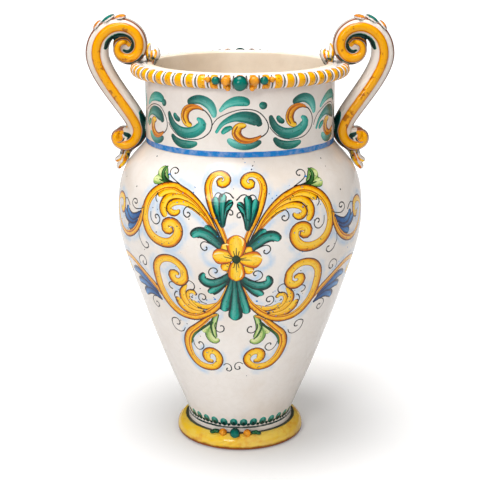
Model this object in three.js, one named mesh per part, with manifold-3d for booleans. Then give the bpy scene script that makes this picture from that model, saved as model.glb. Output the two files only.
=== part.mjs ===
// A tin-glazed earthenware jar with two scroll handles, in millimetres.
// Z points up, the jar stands on z = 0, its front faces -Y and its handles lie along X.
import * as THREE from 'three';
import { mergeVertices } from 'three/addons/utils/BufferGeometryUtils.js';
import Module from 'manifold-3d';

const wasm = await Module();
wasm.setup();

// Walls and joints between neighbouring pieces
const clearance = 0.3;
const wallThickness = 8;
const floorThickness = 10;

// Foot ring
const footFlare = 11.6;
const footShoulder = 2.1;
const footHeight = 16;
const footWidestHeight = 4.5;
const footEdgeInset = 2.5;
const footLedgeWidth = 9.4;
const footLedgeHeight = 6;
const footPlugInset = 3;

// Belly: a straight band above the foot, a long flank, a round haunch and a shoulder
const bandRadius = 55.4;
const bandHeight = 5.4;
const bandStep = 0.9;
const bandChamfer = 1;
const flankLength = 177;
const bellyOverhang = 30.1;
const haunchBulge = 7.2;
const haunchRise = 43.8;
const shoulderRise = 71.2;
const mouthLip = 0.8;
// Handles of the three curves of the belly's outline, as shares of their width and height
const flankPull = { low: [0.195, 0.203], high: [0.53, 0.62] };
const haunchPull = { low: [0.54, 0.285], high: 0.36 };
const shoulderPull = { low: 0.7, high: [0.426, 0.232] };
const floorHollow = { width: 6, rise: 3 };
const seatLand = 3;

// Neck collar
const neckRadius = 95.6;
const neckHeight = 79.5;
const tongueDepth = 6;
const tongueThickness = 3.6;
const ledgeDrop = 10.5;
const ledgeWidth = 2.6;
const lipRounding = 1.6;

// Rim band with its gadroons
const rimOverhang = 14.9;
const rimUndersideDrop = 13.5;
const rimRollWidth = 7.5;
const grooveInset = 2.4;
const grooveDepth = 1.6;
const innerBeadWidth = 2.2;
const gadroonCount = 56;
const gadroonDepth = 1.5;

// Handles
const strapHalfWidth = 11.6;
const strapHalfDepth = 12.5;
const strapSquareness = 2.8;
const strapEdgeShare = 0.86;
const ribHalfWidth = 4.3;
const ribMostShare = 0.62;
const ribTopShare = 0.55;
const ribHeight = 2;
const upperSpiralOut = 4.2;
const upperSpiralRise = 14.7;
const upperSpiralEye = 4.5;
const upperSpiralGrowth = 0.2154;
const upperSpiralStart = 126;
const upperSpiralTurn = 500;
const lowerSpiralOut = 25.5;
const lowerSpiralRise = 5.6;
const lowerSpiralEye = 3.1;
const lowerSpiralGrowth = 0.3825;
const lowerSpiralStart = 71.5;
const lowerSpiralTurn = 266;
const strapEase = 24;
const lowerStrapEase = 14;
const webHalfDepth = 7;
const upperWeb = { radius: 15.2, inwards: 0.2, upwards: 0.105 };
const lowerWeb = { radius: 9, inwards: 0.27, upwards: -0.11 };
// Shares of the strap's half width, evenly along each spiral from its eye outwards
const upperTaper = [0.28, 0.34, 0.38, 0.41, 0.48, 0.6, 0.72, 0.69, 0.62, 0.66, 0.76, 0.91, 1];
const lowerTaper = [0.26, 0.31, 0.4, 0.48, 0.55, 0.67, 0.86];

// Leaves and buds of rolled clay
const lipLeafHeight = 18.5;
const shoulderLeafReach = 12.7;
const shoulderLeafDrop = 27.4;
const budHeight = 21;
const budReach = 26;

// Beads on the handles, from the spiral's top outwards: place along the spiral in degrees, size
const handleBeadPlaces = [{ turn: 405, length: 10.5, rise: 3.1 }, { turn: 428, length: 11.5, rise: 2.6 },
  { turn: 449, length: 9.5, rise: 2.7 }];
const handleBeadHalfDepth = 11.5;

// Bead garland on the rim: angle from the front in degrees, height under the rim's top, radius
const rimBeads = [{ angle: 0, drop: 6.4, radius: 7.3, teal: true }, { angle: 6.6, drop: 4.6, radius: 4.8 },
  { angle: 11.5, drop: 4.4, radius: 4, teal: true }, { angle: 15.4, drop: 3.8, radius: 2.9 },
  { angle: 5.8, drop: 11.6, radius: 2.6 }, { angle: 12.4, drop: 9.7, radius: 2.5 }];
const beadProud = 0.3;

// Ornament on the foot
const footBeads = [{ angle: 0, radius: 6.5, teal: true }, { angle: 12.1, radius: 5 }];
const footGarlandTurn = -5;
const footBeadHeight = 16.4;
const footBeadOut = 4.6;
const footLeafLobes = [{ angle: 23.1, rise: -0.18, size: 0.42 }, { angle: 21.6, rise: 0.22, size: 0.34 },
  { angle: 18.9, rise: 0.1, size: 0.5 }];
const footLeafLength = 9;
const footLeafWidth = 7;
const footLeafFlatness = 0.8;

// Fineness of the round surfaces
const roundSteps = 40;
const ballSteps = 8;
const curlSides = 6;

const tin = { ivory: 0xede6d9, yellow: 0xf2b81a, orange: 0xd97a10, teal: 0x0b6b5c, green: 0x5f9a4a };
const glaze = (colour) => new THREE.MeshStandardMaterial({ color: colour, roughness: 0.22, metalness: 0 });

// Heights that follow from the sizes above
const bandTop = footHeight + clearance + bandHeight;
const flankTop = bandTop + bandChamfer + flankLength;
const bellyMiddle = flankTop + haunchRise;
const bellyRadius = neckRadius + bellyOverhang;
const rimRadius = neckRadius + rimOverhang;
const grooveRadius = neckRadius + grooveInset;
const footRadius = bandRadius + footFlare;
const footShoulderRadius = bandRadius + footShoulder;
const footBeadRadius = bandRadius + footBeadOut;
const bellyTop = bellyMiddle + shoulderRise;
const neckBase = bellyTop + clearance;
const rimTop = neckBase + neckHeight;
const rimUnderside = rimTop - rimUndersideDrop;
const neckBore = neckRadius - wallThickness;
const plugRadius = bandRadius - footPlugInset;
const footBoreRadius = plugRadius - footLedgeWidth;

const radians = THREE.MathUtils.degToRad;
const point = (r, z) => new THREE.Vector2(r, z);

// Points of a cubic curve from a to d, without the last one
function bend(a, b, c, d, steps) {
  return new THREE.CubicBezierCurve(a, b, c, d).getPoints(steps).slice(0, -1);
}

// A quarter of an ellipse about a centre, between two angles in degrees
function ellipse(centre, across, up, from, to, steps) {
  return Array.from({ length: steps + 1 }, (_, i) => {
    const angle = radians(from + (to - from) * i / steps);
    return point(centre.x + across * Math.cos(angle), centre.y + up * Math.sin(angle));
  });
}

// A closed ring or a solid of revolution about Z; the outline runs up on its outer side
function turned(outline, steps = roundSteps) {
  const first = outline[0];
  const ends = first.x === 0 ? outline : [...outline, first.clone()];
  return new THREE.LatheGeometry(ends, steps).rotateX(Math.PI / 2);
}

function solidOf(geometry) {
  const bare = geometry.clone();
  bare.deleteAttribute('normal');
  bare.deleteAttribute('uv');
  const merged = mergeVertices(bare, 1e-3);
  return new wasm.Manifold(new wasm.Mesh({
    numProp: 3,
    vertProperties: merged.attributes.position.array,
    triVerts: new Uint32Array(merged.index.array),
  }));
}

function geometryOf(solid) {
  const mesh = solid.getMesh();
  const geometry = new THREE.BufferGeometry();
  geometry.setAttribute('position', new THREE.BufferAttribute(mesh.vertProperties, 3));
  geometry.setIndex(new THREE.BufferAttribute(mesh.triVerts, 1));
  geometry.computeVertexNormals();
  return geometry;
}

const joined = (solids) => solids.reduce((whole, next) => whole.add(next));

// The outline of a turned piece, moved outwards by the clearance all round
function grown(outline, amount = clearance) {
  const count = outline.length;
  return outline.map((here, i) => {
    const before = outline[(i + count - 1) % count];
    const after = outline[(i + 1) % count];
    const into = here.clone().sub(before).normalize();
    const out = after.clone().sub(here).normalize();
    const normal = point(into.y + out.y, -into.x - out.x).normalize();
    const reach = amount / Math.max(0.5, normal.dot(point(into.y, -into.x)));
    return here.clone().add(normal.multiplyScalar(reach));
  });
}

// Outer surface of the belly from the band above the foot to the mouth
function bellySkin() {
  const low = point(bandRadius - bandStep, bandTop + bandChamfer);
  const flankEnd = point(bellyRadius - haunchBulge, flankTop);
  const middle = point(bellyRadius, bellyMiddle);
  const mouth = point(neckRadius + mouthLip, bellyTop);
  const between = (from, share, to) => point(from.x + (to.x - from.x) * share[0],
    from.y + (to.y - from.y) * share[1]);
  const flank = bend(low, between(low, flankPull.low, flankEnd),
    between(flankEnd, flankPull.high, low), flankEnd, 6);
  const haunch = bend(flankEnd, between(flankEnd, haunchPull.low, middle),
    between(middle, [0, haunchPull.high], flankEnd), middle, 3);
  const shoulder = bend(middle, between(middle, [0, shoulderPull.low], mouth),
    between(mouth, shoulderPull.high, middle), mouth, 8);
  return [...flank, ...haunch, ...shoulder, mouth];
}

// Radius of the belly's outer surface at a height
function skinRadius(height) {
  const skin = bellySkin();
  const above = Math.max(1, skin.findIndex((p) => p.y >= height));
  const [low, high] = [skin[above - 1], skin[above]];
  return low.x + (high.x - low.x) * (height - low.y) / (high.y - low.y);
}

// Points a wall's thickness inside a skin, measured square to it
function inside(skin, thickness) {
  return skin.map((here, i) => {
    const along = skin[Math.min(i + 1, skin.length - 1)].clone().sub(skin[Math.max(i - 1, 0)]).normalize();
    return point(here.x - thickness * along.y, here.y + thickness * along.x);
  });
}

const footOutline = () => [
  point(footBoreRadius, 0),
  point(footRadius - footEdgeInset, 0),
  ...ellipse(point(footShoulderRadius, footWidestHeight), footRadius - footShoulderRadius,
    footHeight - footWidestHeight, -12, 90, 6),
  point(plugRadius + clearance, footHeight),
  point(plugRadius + clearance, footLedgeHeight),
  point(footBoreRadius, footLedgeHeight),
];

function bellyOutline() {
  const base = footLedgeHeight + clearance;
  const skin = bellySkin();
  const lining = inside(skin, wallThickness);
  const tongueSeat = neckBore + tongueThickness + clearance;
  const ledge = bellyTop - tongueDepth;
  const floorTop = base + floorThickness;
  const hollow = lining.filter((p) => p.y > floorTop + wallThickness && p.y < ledge - wallThickness);
  return [
    point(0, base),
    point(plugRadius, base),
    point(plugRadius, footHeight + clearance),
    point(bandRadius, footHeight + clearance),
    point(bandRadius, bandTop),
    ...skin,
    point(tongueSeat, bellyTop),
    point(tongueSeat, ledge),
    point(neckBore, ledge),
    point(neckBore, ledge - seatLand),
    ...hollow.reverse().filter((_, i) => i % 2 === 0),
    point(plugRadius - wallThickness, floorTop + floorHollow.rise),
    point(plugRadius - wallThickness - floorHollow.width, floorTop),
    point(0, floorTop),
  ];
}

function neckOutline() {
  const ledge = rimTop - ledgeDrop;
  const lipRadius = neckRadius - ledgeWidth;
  const tongueRadius = neckBore + tongueThickness;
  return [
    point(neckBore, neckBase - tongueDepth),
    point(tongueRadius, neckBase - tongueDepth),
    point(tongueRadius, neckBase),
    point(neckRadius, neckBase),
    point(neckRadius, ledge),
    point(lipRadius, ledge),
    point(lipRadius, rimTop),
    point(neckBore + lipRounding, rimTop),
    point(neckBore, rimTop - lipRounding),
  ];
}

function rimOutline() {
  const ledge = rimTop - ledgeDrop + clearance;
  const bore = neckRadius - ledgeWidth + clearance;
  const rollCentre = point(rimRadius - rimRollWidth, (rimTop + rimUnderside) / 2);
  const roll = ellipse(rollCentre, rimRollWidth, rimUndersideDrop / 2, -90, 90, 5);
  return [
    point(neckRadius + clearance, rimUnderside),
    ...roll,
    point(grooveRadius, rimTop - grooveDepth),
    point(grooveRadius - innerBeadWidth, rimTop),
    point(bore, rimTop),
    point(bore, ledge),
    point(neckRadius + clearance, ledge),
  ];
}

// The band's roll is pressed in between each two gadroons
function gadrooned() {
  const geometry = turned(rimOutline(), gadroonCount * 2);
  const place = geometry.attributes.position;
  for (let i = 0; i < place.count; i += 1) {
    const radius = Math.hypot(place.getX(i), place.getY(i));
    const turn = Math.round(Math.atan2(place.getX(i), -place.getY(i)) * gadroonCount / Math.PI);
    const pressed = turn % 2 !== 0 && radius > grooveRadius + 1;
    if (pressed) {
      const scale = (radius - gadroonDepth * (radius - grooveRadius) / (rimRadius - grooveRadius)) / radius;
      place.setXYZ(i, place.getX(i) * scale, place.getY(i) * scale, place.getZ(i));
    }
  }
  return geometry;
}

// A logarithmic spiral from its eye outwards, turning clockwise as seen from the front
function spiral(centre, eye, growth, start, turn, steps) {
  return Array.from({ length: steps + 1 }, (_, i) => {
    const swept = turn * i / steps;
    const angle = radians(start - swept);
    const radius = eye * Math.exp(growth * radians(swept));
    return point(centre.x + radius * Math.cos(angle), centre.y + radius * Math.sin(angle));
  });
}

const upperCentre = point(rimRadius + upperSpiralOut, rimTop + upperSpiralRise);
const lowerCentre = point(neckRadius + lowerSpiralOut, neckBase + lowerSpiralRise);

function sampled(values, fraction) {
  const place = fraction * (values.length - 1);
  const low = Math.min(Math.floor(place), values.length - 2);
  return values[low] + (values[low + 1] - values[low]) * (place - low);
}

// Middle line of a handle from the upper eye to the lower eye, with the strap's half width at each point
function handleLine() {
  const upper = spiral(upperCentre, upperSpiralEye, upperSpiralGrowth,
    upperSpiralStart, upperSpiralTurn, 24);
  const lower = spiral(lowerCentre, lowerSpiralEye, lowerSpiralGrowth,
    lowerSpiralStart, lowerSpiralTurn, 11).reverse();
  const start = upper[upper.length - 1];
  const end = lower[0];
  const leaving = start.clone().sub(upper[upper.length - 2]).normalize().multiplyScalar(strapEase);
  const arriving = lower[1].clone().sub(end).normalize().multiplyScalar(lowerStrapEase);
  const strap = bend(start, start.clone().add(leaving), end.clone().sub(arriving), end, 8).slice(1);
  const widths = [
    ...upper.map((_, i) => sampled(upperTaper, i / (upper.length - 1))),
    ...strap.map((_, i) => sampled([upperTaper.at(-1), lowerTaper.at(-1)], (i + 1) / strap.length)),
    ...lower.map((_, i) => sampled(lowerTaper, 1 - i / (lower.length - 1))),
  ];
  return [...upper, ...strap, ...lower].map((place, i) => ({ place, half: widths[i] * strapHalfWidth }));
}

// Cross-section of the strap, u across it and v along Y: a rounded bar with a raised rib on both faces
function strapSection(half, margin) {
  const rib = Math.min(ribHalfWidth, half * ribMostShare);
  const across = [1, strapEdgeShare];
  const edge = across.map((share) => ({
    u: share * half,
    v: strapHalfDepth * (1 - share ** strapSquareness) ** (1 / strapSquareness),
  }));
  const ribFoot = { u: rib, v: strapHalfDepth };
  const ribTop = { u: rib * ribTopShare, v: strapHalfDepth + ribHeight };
  const quarter = [...edge, ribFoot, ribTop];
  const upperHalf = [...quarter, ...quarter.map(({ u, v }) => ({ u: -u, v })).reverse()];
  const lowerHalf = upperHalf.slice(1, -1).map(({ u, v }) => ({ u, v: -v })).reverse();
  return [...upperHalf, ...lowerHalf].map(({ u, v }) => {
    const reach = Math.hypot(u, v);
    return { u: u * (1 + margin / reach), v: v * (1 + margin / reach) };
  });
}

// A closed bar through sections set square to a line in the XZ plane
function swept(line, section) {
  const rings = line.map(({ place, half }, i) => {
    const after = line[Math.min(i + 1, line.length - 1)].place;
    const before = line[Math.max(i - 1, 0)].place;
    const along = after.clone().sub(before).normalize();
    return section(half).map(({ u, v }) => [place.x - u * along.y, v, place.y + u * along.x]);
  });
  const sides = rings[0].length;
  const corners = rings.flat();
  const faces = [];
  for (let i = 0; i < rings.length - 1; i += 1) {
    for (let j = 0; j < sides; j += 1) {
      const a = i * sides + j;
      const b = i * sides + (j + 1) % sides;
      faces.push([a, a + sides, b], [b, a + sides, b + sides]);
    }
  }
  for (const [ring, flip] of [[0, false], [rings.length - 1, true]]) {
    const middle = corners.length;
    const { place } = line[ring];
    corners.push([place.x, 0, place.y]);
    for (let j = 0; j < sides; j += 1) {
      const a = ring * sides + j;
      const b = ring * sides + (j + 1) % sides;
      faces.push(flip ? [b, a, middle] : [a, b, middle]);
    }
  }
  const geometry = new THREE.BufferGeometry();
  geometry.setAttribute('position', new THREE.BufferAttribute(new Float32Array(corners.flat()), 3));
  geometry.setIndex(faces.flat());
  return geometry;
}

// A flat disc square to Y that backs the gaps inside a spiral
function webDisc(centre, { radius, inwards, upwards }, margin) {
  return new THREE.CylinderGeometry(radius + margin, radius + margin, 2 * (webHalfDepth + margin), 20)
    .translate(centre.x - radius * inwards, 0, centre.y + radius * upwards);
}

// One handle on the +X side; the margin makes a fatter copy that cuts its neighbours
function handleSolid(margin = 0) {
  const bar = solidOf(swept(handleLine(), (half) => strapSection(half, margin)));
  return joined([bar, solidOf(webDisc(upperCentre, upperWeb, margin)),
    solidOf(webDisc(lowerCentre, lowerWeb, margin))]);
}

// Everything that the handles, leaves and beads are pressed against
const wallCutter = joined([bellyOutline(), neckOutline(), rimOutline()]
  .map((outline) => solidOf(turned(grown(outline)))));
const footCutter = joined([bellyOutline(), footOutline()].map((outline) => solidOf(turned(grown(outline)))));
const handleCutter = handleSolid(clearance);

// A curl of clay: a tapering round bar along a smooth line through [x, z, half width] points,
// given in shares of a size and measured from a corner
function curl(corner, size, stations, halfDepth, steps = 6) {
  const line = new THREE.CatmullRomCurve3(stations.map(([x, z, half]) => (
    new THREE.Vector3(corner.x + x * size, corner.y + z * size, half * size))));
  const section = (half) => Array.from({ length: curlSides }, (_, i) => {
    const angle = radians(360 * i / curlSides);
    return { u: half * Math.cos(angle), v: Math.min(halfDepth * size, half * 1.6) * Math.sin(angle) };
  });
  return solidOf(swept(line.getPoints(steps).map((p) => ({ place: point(p.x, p.y), half: p.z })), section));
}

// The leaf that rises from the lip and curls over towards the mouth
function lipLeaf() {
  const corner = point(neckRadius, rimTop);
  const tall = [[-0.46, -0.32, 0.18], [-0.35, 0.16, 0.27], [-0.27, 0.6, 0.21], [-0.33, 1, 0.07]];
  const short = [[-0.43, -0.27, 0.16], [-0.57, 0.16, 0.24], [-0.68, 0.49, 0.17], [-0.79, 0.68, 0.08]];
  const side = [[-0.32, 0.05, 0.22], [-0.08, 0.24, 0.24], [0.04, 0.43, 0.13]];
  return joined([curl(corner, lipLeafHeight, tall, 0.49), curl(corner, lipLeafHeight, short, 0.54),
    curl(corner, lipLeafHeight, side, 0.38, 4)]);
}

// The leaf that hangs under the lower spiral and flicks its two tips outwards, following the shoulder
function shoulderLeaf() {
  const lobe = (stations) => stations.map(([out, down, half]) => {
    const wall = skinRadius(neckBase - down * shoulderLeafDrop) - neckRadius;
    return [(wall + out * shoulderLeafReach) / shoulderLeafDrop, -down, half];
  });
  const corner = point(neckRadius, neckBase);
  const stem = lobe([[0.8, 0.29, 0.17], [0.78, 0.44, 0.19], [0.88, 0.58, 0.17], [1, 0.73, 0.095]]);
  const low = lobe([[0.42, 0.51, 0.16], [0.42, 0.77, 0.19], [0.46, 1, 0.117]]);
  return joined([curl(corner, shoulderLeafDrop, stem, 0.29), curl(corner, shoulderLeafDrop, low, 0.255)]);
}

// The bud in the fork between the strap and the lower spiral
function scrollBud() {
  const share = budReach / budHeight;
  const stations = [[share, 0.5, 0.114], [share * 0.86, 0.59, 0.162], [share * 0.72, 0.74, 0.18],
    [share * 0.745, 1, 0.086]];
  return curl(point(neckRadius, neckBase), budHeight, stations, 0.43);
}

function ball(radius, across = 1, deep = 1, tall = 1) {
  return new THREE.SphereGeometry(radius, ballSteps, ballSteps - 2).scale(across, deep, tall);
}

// A bead on the outside of the upper spiral, as wide as the strap is deep
function handleBead({ turn, length, rise }) {
  const swing = radians(upperSpiralStart - turn);
  const radius = upperSpiralEye * Math.exp(upperSpiralGrowth * radians(turn));
  const half = sampled(upperTaper, turn / upperSpiralTurn) * strapHalfWidth;
  const out = radius + half;
  return ball(1, rise, handleBeadHalfDepth, length / 2)
    .rotateY(-swing)
    .translate(upperCentre.x + out * Math.cos(swing), 0, upperCentre.y + out * Math.sin(swing));
}

function onRing(geometry, angle, radius, height) {
  const swing = radians(angle);
  return geometry.rotateZ(swing).translate(radius * Math.sin(swing), -radius * Math.cos(swing), height);
}

function rimBead({ angle, drop, radius }) {
  return onRing(ball(radius), angle, rimRadius + radius * beadProud, rimTop - drop);
}

// A sprig of three lobes beside the foot's beads
function footLeaf(side) {
  const lobes = footLeafLobes.map(({ angle, rise, size }) => {
    const lobe = new THREE.SphereGeometry(size, 6, 5)
      .scale(footLeafLength, footLeafWidth * footLeafFlatness, footLeafWidth);
    return solidOf(onRing(lobe, side * angle + footGarlandTurn, footBeadRadius,
      footBeadHeight + rise * footLeafWidth));
  });
  return joined(lobes);
}

const turnedAbout = (geometry) => geometry.clone().rotateZ(Math.PI);

function mirrored(geometry) {
  const copy = geometry.clone().scale(-1, 1, 1);
  const order = copy.index.array;
  for (let i = 0; i < order.length; i += 3) {
    [order[i + 1], order[i + 2]] = [order[i + 2], order[i + 1]];
  }
  copy.computeVertexNormals();
  return copy;
}

const jar = new THREE.Group();

function add(name, geometry, material) {
  const mesh = new THREE.Mesh(geometry, material);
  mesh.name = name;
  jar.add(mesh);
}

add('foot_ring', turned(footOutline()), glaze(tin.yellow));
add('belly', turned(bellyOutline()), glaze(tin.ivory));
add('neck_collar', turned(neckOutline()), glaze(tin.ivory));
add('rim_band', gadrooned(), glaze(tin.yellow));

const handle = geometryOf(handleSolid().subtract(wallCutter));
const lip = geometryOf(lipLeaf().subtract(wallCutter).subtract(handleCutter));
const hanging = geometryOf(shoulderLeaf().subtract(wallCutter).subtract(handleCutter));
const bud = geometryOf(scrollBud().subtract(handleCutter));
for (const [side, placed] of [['right', (g) => g], ['left', mirrored]]) {
  add(`${side}_handle`, placed(handle), glaze(tin.yellow));
  add(`${side}_lip_leaf`, placed(lip), glaze(tin.orange));
  add(`${side}_shoulder_leaf`, placed(hanging), glaze(tin.yellow));
  add(`${side}_scroll_bud`, placed(bud), glaze(tin.orange));
  let earlier = handleCutter;
  handleBeadPlaces.forEach((bead, i) => {
    const whole = solidOf(handleBead(bead));
    const colour = i === 1 ? tin.teal : tin.orange;
    add(`${side}_handle_bead_${i + 1}`, placed(geometryOf(whole.subtract(earlier))), glaze(colour));
    earlier = earlier.add(solidOf(handleBead({ ...bead, rise: bead.rise + clearance,
      length: bead.length + 2 * clearance })));
  });
}

// The garland lies on both sides of its middle bead, at the front and again at the back
const bothSides = (bead) => (bead.angle ? [bead, { ...bead, angle: -bead.angle }] : [bead]);
const rimPlaces = rimBeads.flatMap(bothSides);
const footPlaces = footBeads.flatMap(bothSides);
const bySize = (a, b) => b.radius - a.radius;

// Each bead is pressed against the wall and against the larger beads before it
function pressedRow(places, made, cutter) {
  let earlier = cutter;
  return places.sort(bySize).map((bead) => {
    const solid = solidOf(made(bead)).subtract(earlier);
    earlier = earlier.add(solidOf(made({ ...bead, radius: bead.radius + clearance })));
    return { geometry: geometryOf(solid), colour: bead.teal ? tin.teal : tin.orange };
  });
}

function footBead({ angle, radius }) {
  return onRing(ball(radius), angle + footGarlandTurn, footBeadRadius, footBeadHeight);
}

const rimRow = pressedRow(rimPlaces, rimBead, wallCutter);
const footRow = pressedRow(footPlaces, footBead, footCutter);
const footRowCutter = joined(footPlaces.map((bead) => (
  solidOf(footBead({ ...bead, radius: bead.radius + clearance })))));
const sprigs = [['left', -1], ['right', 1]].map(([name, side]) => ({
  name,
  geometry: geometryOf(footLeaf(side).subtract(footCutter).subtract(footRowCutter)),
}));
for (const [place, turnedTo] of [['front', (g) => g], ['back', turnedAbout]]) {
  for (const [part, row] of [['rim', rimRow], ['foot', footRow]]) {
    row.forEach(({ geometry, colour }, i) => {
      add(`${place}_${part}_bead_${i + 1}`, turnedTo(geometry), glaze(colour));
    });
  }
  sprigs.forEach(({ name, geometry }) => {
    add(`${place}_foot_leaf_${name}`, turnedTo(geometry), glaze(tin.green));
  });
}

export default jar;
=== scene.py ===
import math

import bpy
import numpy as np
from mathutils import Matrix, Vector
from mathutils.geometry import delaunay_2d_cdt


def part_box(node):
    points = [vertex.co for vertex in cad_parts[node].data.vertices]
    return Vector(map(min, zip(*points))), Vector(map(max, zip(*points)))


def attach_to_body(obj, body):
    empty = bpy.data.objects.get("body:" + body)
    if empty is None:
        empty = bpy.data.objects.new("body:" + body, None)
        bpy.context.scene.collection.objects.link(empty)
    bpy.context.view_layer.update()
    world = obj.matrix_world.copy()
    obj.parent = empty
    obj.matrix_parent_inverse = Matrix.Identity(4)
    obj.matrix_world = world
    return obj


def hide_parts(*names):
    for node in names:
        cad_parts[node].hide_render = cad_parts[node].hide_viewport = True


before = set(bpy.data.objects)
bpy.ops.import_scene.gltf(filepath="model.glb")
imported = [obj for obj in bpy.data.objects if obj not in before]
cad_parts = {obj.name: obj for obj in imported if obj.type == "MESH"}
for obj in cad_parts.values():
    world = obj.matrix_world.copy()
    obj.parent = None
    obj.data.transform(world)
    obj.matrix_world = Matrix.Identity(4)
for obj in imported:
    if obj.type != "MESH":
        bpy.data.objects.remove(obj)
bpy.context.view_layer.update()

# The visual model of the tin-glazed jar. Shapes are worked out in millimetres and made in metres.
# A place on a wall is an angle round the axis in degrees, 0 at the front and positive to the right,
# and a height. Painted strokes are lines of (angle, height, half width) points.
MM = 0.001
rng = np.random.default_rng(11)


def box_of(node):
    low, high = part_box(node)
    return np.array(low) / MM, np.array(high) / MM


# Sizes that come from the frame
FOOT_RADIUS, _, FOOT_HEIGHT = box_of("foot_ring")[1]
BELLY_RADIUS, _, BELLY_TOP = box_of("belly")[1]
NECK_RADIUS = box_of("neck_collar")[1][0]
RIM_RADIUS, _, RIM_TOP = box_of("rim_band")[1]
RIM_UNDERSIDE = box_of("rim_band")[0][2]

# Sizes that the frame doesn't give
CLEARANCE = 0.3
WALL = 8
FLOOR = 10
BAND_RADIUS = 55.4
BAND_HEIGHT = 5.4
BAND_STEP = 0.9
HAUNCH_RISE = 43.8
SHOULDER_RISE = 71.2
MOUTH_LIP = 0.8
FOOT_SHOULDER = 57.5
FOOT_WIDEST = 4.5
LEDGE_HEIGHT = 6
PLUG_RADIUS = 52.4
FOOT_BORE = 43
TONGUE_DEPTH = 6
TONGUE_THICKNESS = 3.6
LEDGE_DROP = 10.5
LEDGE_WIDTH = 2.6
LIP_ROUNDING = 2.2
RIM_ROLL = 7.5
GROOVE_RADIUS = 98
GROOVE_DEPTH = 1.6
GADROONS = 56
GADROON_DEPTH = 1.5
FLANK_INSET = 7.2
INNER_ROUNDING = 9

# Where the belly's curves pull, from either end: shares of the way across and of the way up
FLANK_PULLS = ((0.195, 0.203), (0.53, 0.62))
HAUNCH_PULLS = ((0.54, 0.285), (0, 0.36))
SHOULDER_PULLS = ((0, 0.7), (0.426, 0.232))

# Unevenness of a thrown wall: a slow swell, a small swell and throwing rings, and the most they add up to
SWELL, SMALL_SWELL, THROWING_RINGS, SWELL_MOST = 1.3, 0.6, 0.35, 2.25
SWELL_MARGIN = 8

BAND_BASE = FOOT_HEIGHT + CLEARANCE
BAND_TOP = BAND_BASE + BAND_HEIGHT
BELLY_MIDDLE = BELLY_TOP - SHOULDER_RISE
FLANK_TOP = BELLY_MIDDLE - HAUNCH_RISE
NECK_BASE = BELLY_TOP + CLEARANCE
NECK_BORE = NECK_RADIUS - WALL


def srgb(red, green, blue):
    return tuple(c / 12.92 if c <= 0.04045 else ((c + 0.055) / 1.055) ** 2.4
                 for c in (red, green, blue))


# Colours of the glaze and the paints, as they look on the jar
IVORY = srgb(0.95, 0.93, 0.912)
CREAM = srgb(0.96, 0.91, 0.84)
SPECK = srgb(0.36, 0.30, 0.25)
# Colour of the glaze's stains, and of the painted shade in the groove beside each handle's rib
STAIN_AND_SHADE = srgb(0.80, 0.70, 0.58)
YELLOW = srgb(1.0, 0.79, 0.0)
PALE_YELLOW = srgb(0.99, 0.88, 0.42)
ORANGE = srgb(0.88, 0.47, 0.0)
AMBER = srgb(0.99, 0.70, 0.20)
FOOT_YELLOW = srgb(1.0, 0.82, 0.18)
BEAD_ORANGE = srgb(0.95, 0.55, 0.04)
GADROON_GOLD = srgb(0.95, 0.68, 0.03)
PETAL_EDGE = srgb(0.84, 0.38, 0.0)
RIB_GOLD = srgb(0.93, 0.65, 0.0)
RIB_EDGE = srgb(0.80, 0.42, 0.0)
GOLD = srgb(0.98, 0.70, 0.0)
NAVY = srgb(0.02, 0.26, 0.52)
LEAF_GREEN = srgb(0.62, 0.75, 0.40)
RUST = srgb(0.82, 0.43, 0.0)
UMBER = srgb(0.52, 0.25, 0.07)
HANDLE_IVORY = srgb(0.90, 0.875, 0.85)
BURNT = srgb(0.56, 0.24, 0.02)
BROWN = srgb(0.22, 0.13, 0.05)
TEAL = srgb(0.0, 0.53, 0.47)
LIGHT_TEAL = srgb(0.42, 0.82, 0.78)
TEAL_WASH = srgb(0.20, 0.71, 0.66)
BEAD_TEAL = srgb(0.0, 0.31, 0.28)
MID_TEAL = srgb(0.0, 0.64, 0.57)
DARK_TEAL = srgb(0.0, 0.19, 0.175)
BLUE = srgb(0.0, 0.48, 0.79)
DARK_BLUE = srgb(0.03, 0.13, 0.33)
HALO = srgb(0.71, 0.82, 0.93)
PALE_GREEN = srgb(0.86, 0.89, 0.60)
GREEN = srgb(0.24, 0.50, 0.20)
DARK_GREEN = srgb(0.04, 0.20, 0.07)
CHARCOAL = srgb(0.10, 0.11, 0.12)


# Shapes of the walls

def cubic(a, b, c, d, steps):
    """A curve from a to d that b and c pull."""
    t = np.linspace(0, 1, steps + 1)[:, None]
    a, b, c, d = (np.array(p, float) for p in (a, b, c, d))
    return (1 - t) ** 3 * a + 3 * (1 - t) ** 2 * t * b + 3 * (1 - t) * t * t * c + t ** 3 * d


def unit(vectors):
    return vectors / np.linalg.norm(vectors, axis=1)[:, None]


def distances(line):
    """How far along a line each of its points lies."""
    return np.concatenate([[0], np.cumsum(np.linalg.norm(np.diff(line, axis=0), axis=1))])


def between(start, end, across, up):
    return (start[0] + (end[0] - start[0]) * across, start[1] + (end[1] - start[1]) * up)


def arc(centre, across, up, first, last, steps):
    turn = np.radians(np.linspace(first, last, steps + 1))
    return np.stack([centre[0] + across * np.cos(turn), centre[1] + up * np.sin(turn)], 1)


def belly_outline():
    low = (BAND_RADIUS - BAND_STEP, BAND_TOP + 1)
    flank = (BELLY_RADIUS - FLANK_INSET, FLANK_TOP)
    middle = (BELLY_RADIUS, BELLY_MIDDLE)
    mouth = (NECK_RADIUS + MOUTH_LIP, BELLY_TOP)
    parts = [[(BAND_RADIUS, BAND_BASE), (BAND_RADIUS, BAND_TOP)]]
    for start, end, (near, far), steps in ((low, flank, FLANK_PULLS, 60), (flank, middle, HAUNCH_PULLS, 20),
                                           (middle, mouth, SHOULDER_PULLS, 30)):
        parts.append(cubic(start, between(start, end, *near), between(end, start, *far), end, steps)[:-1])
    return np.vstack(parts + [[mouth]])


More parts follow.
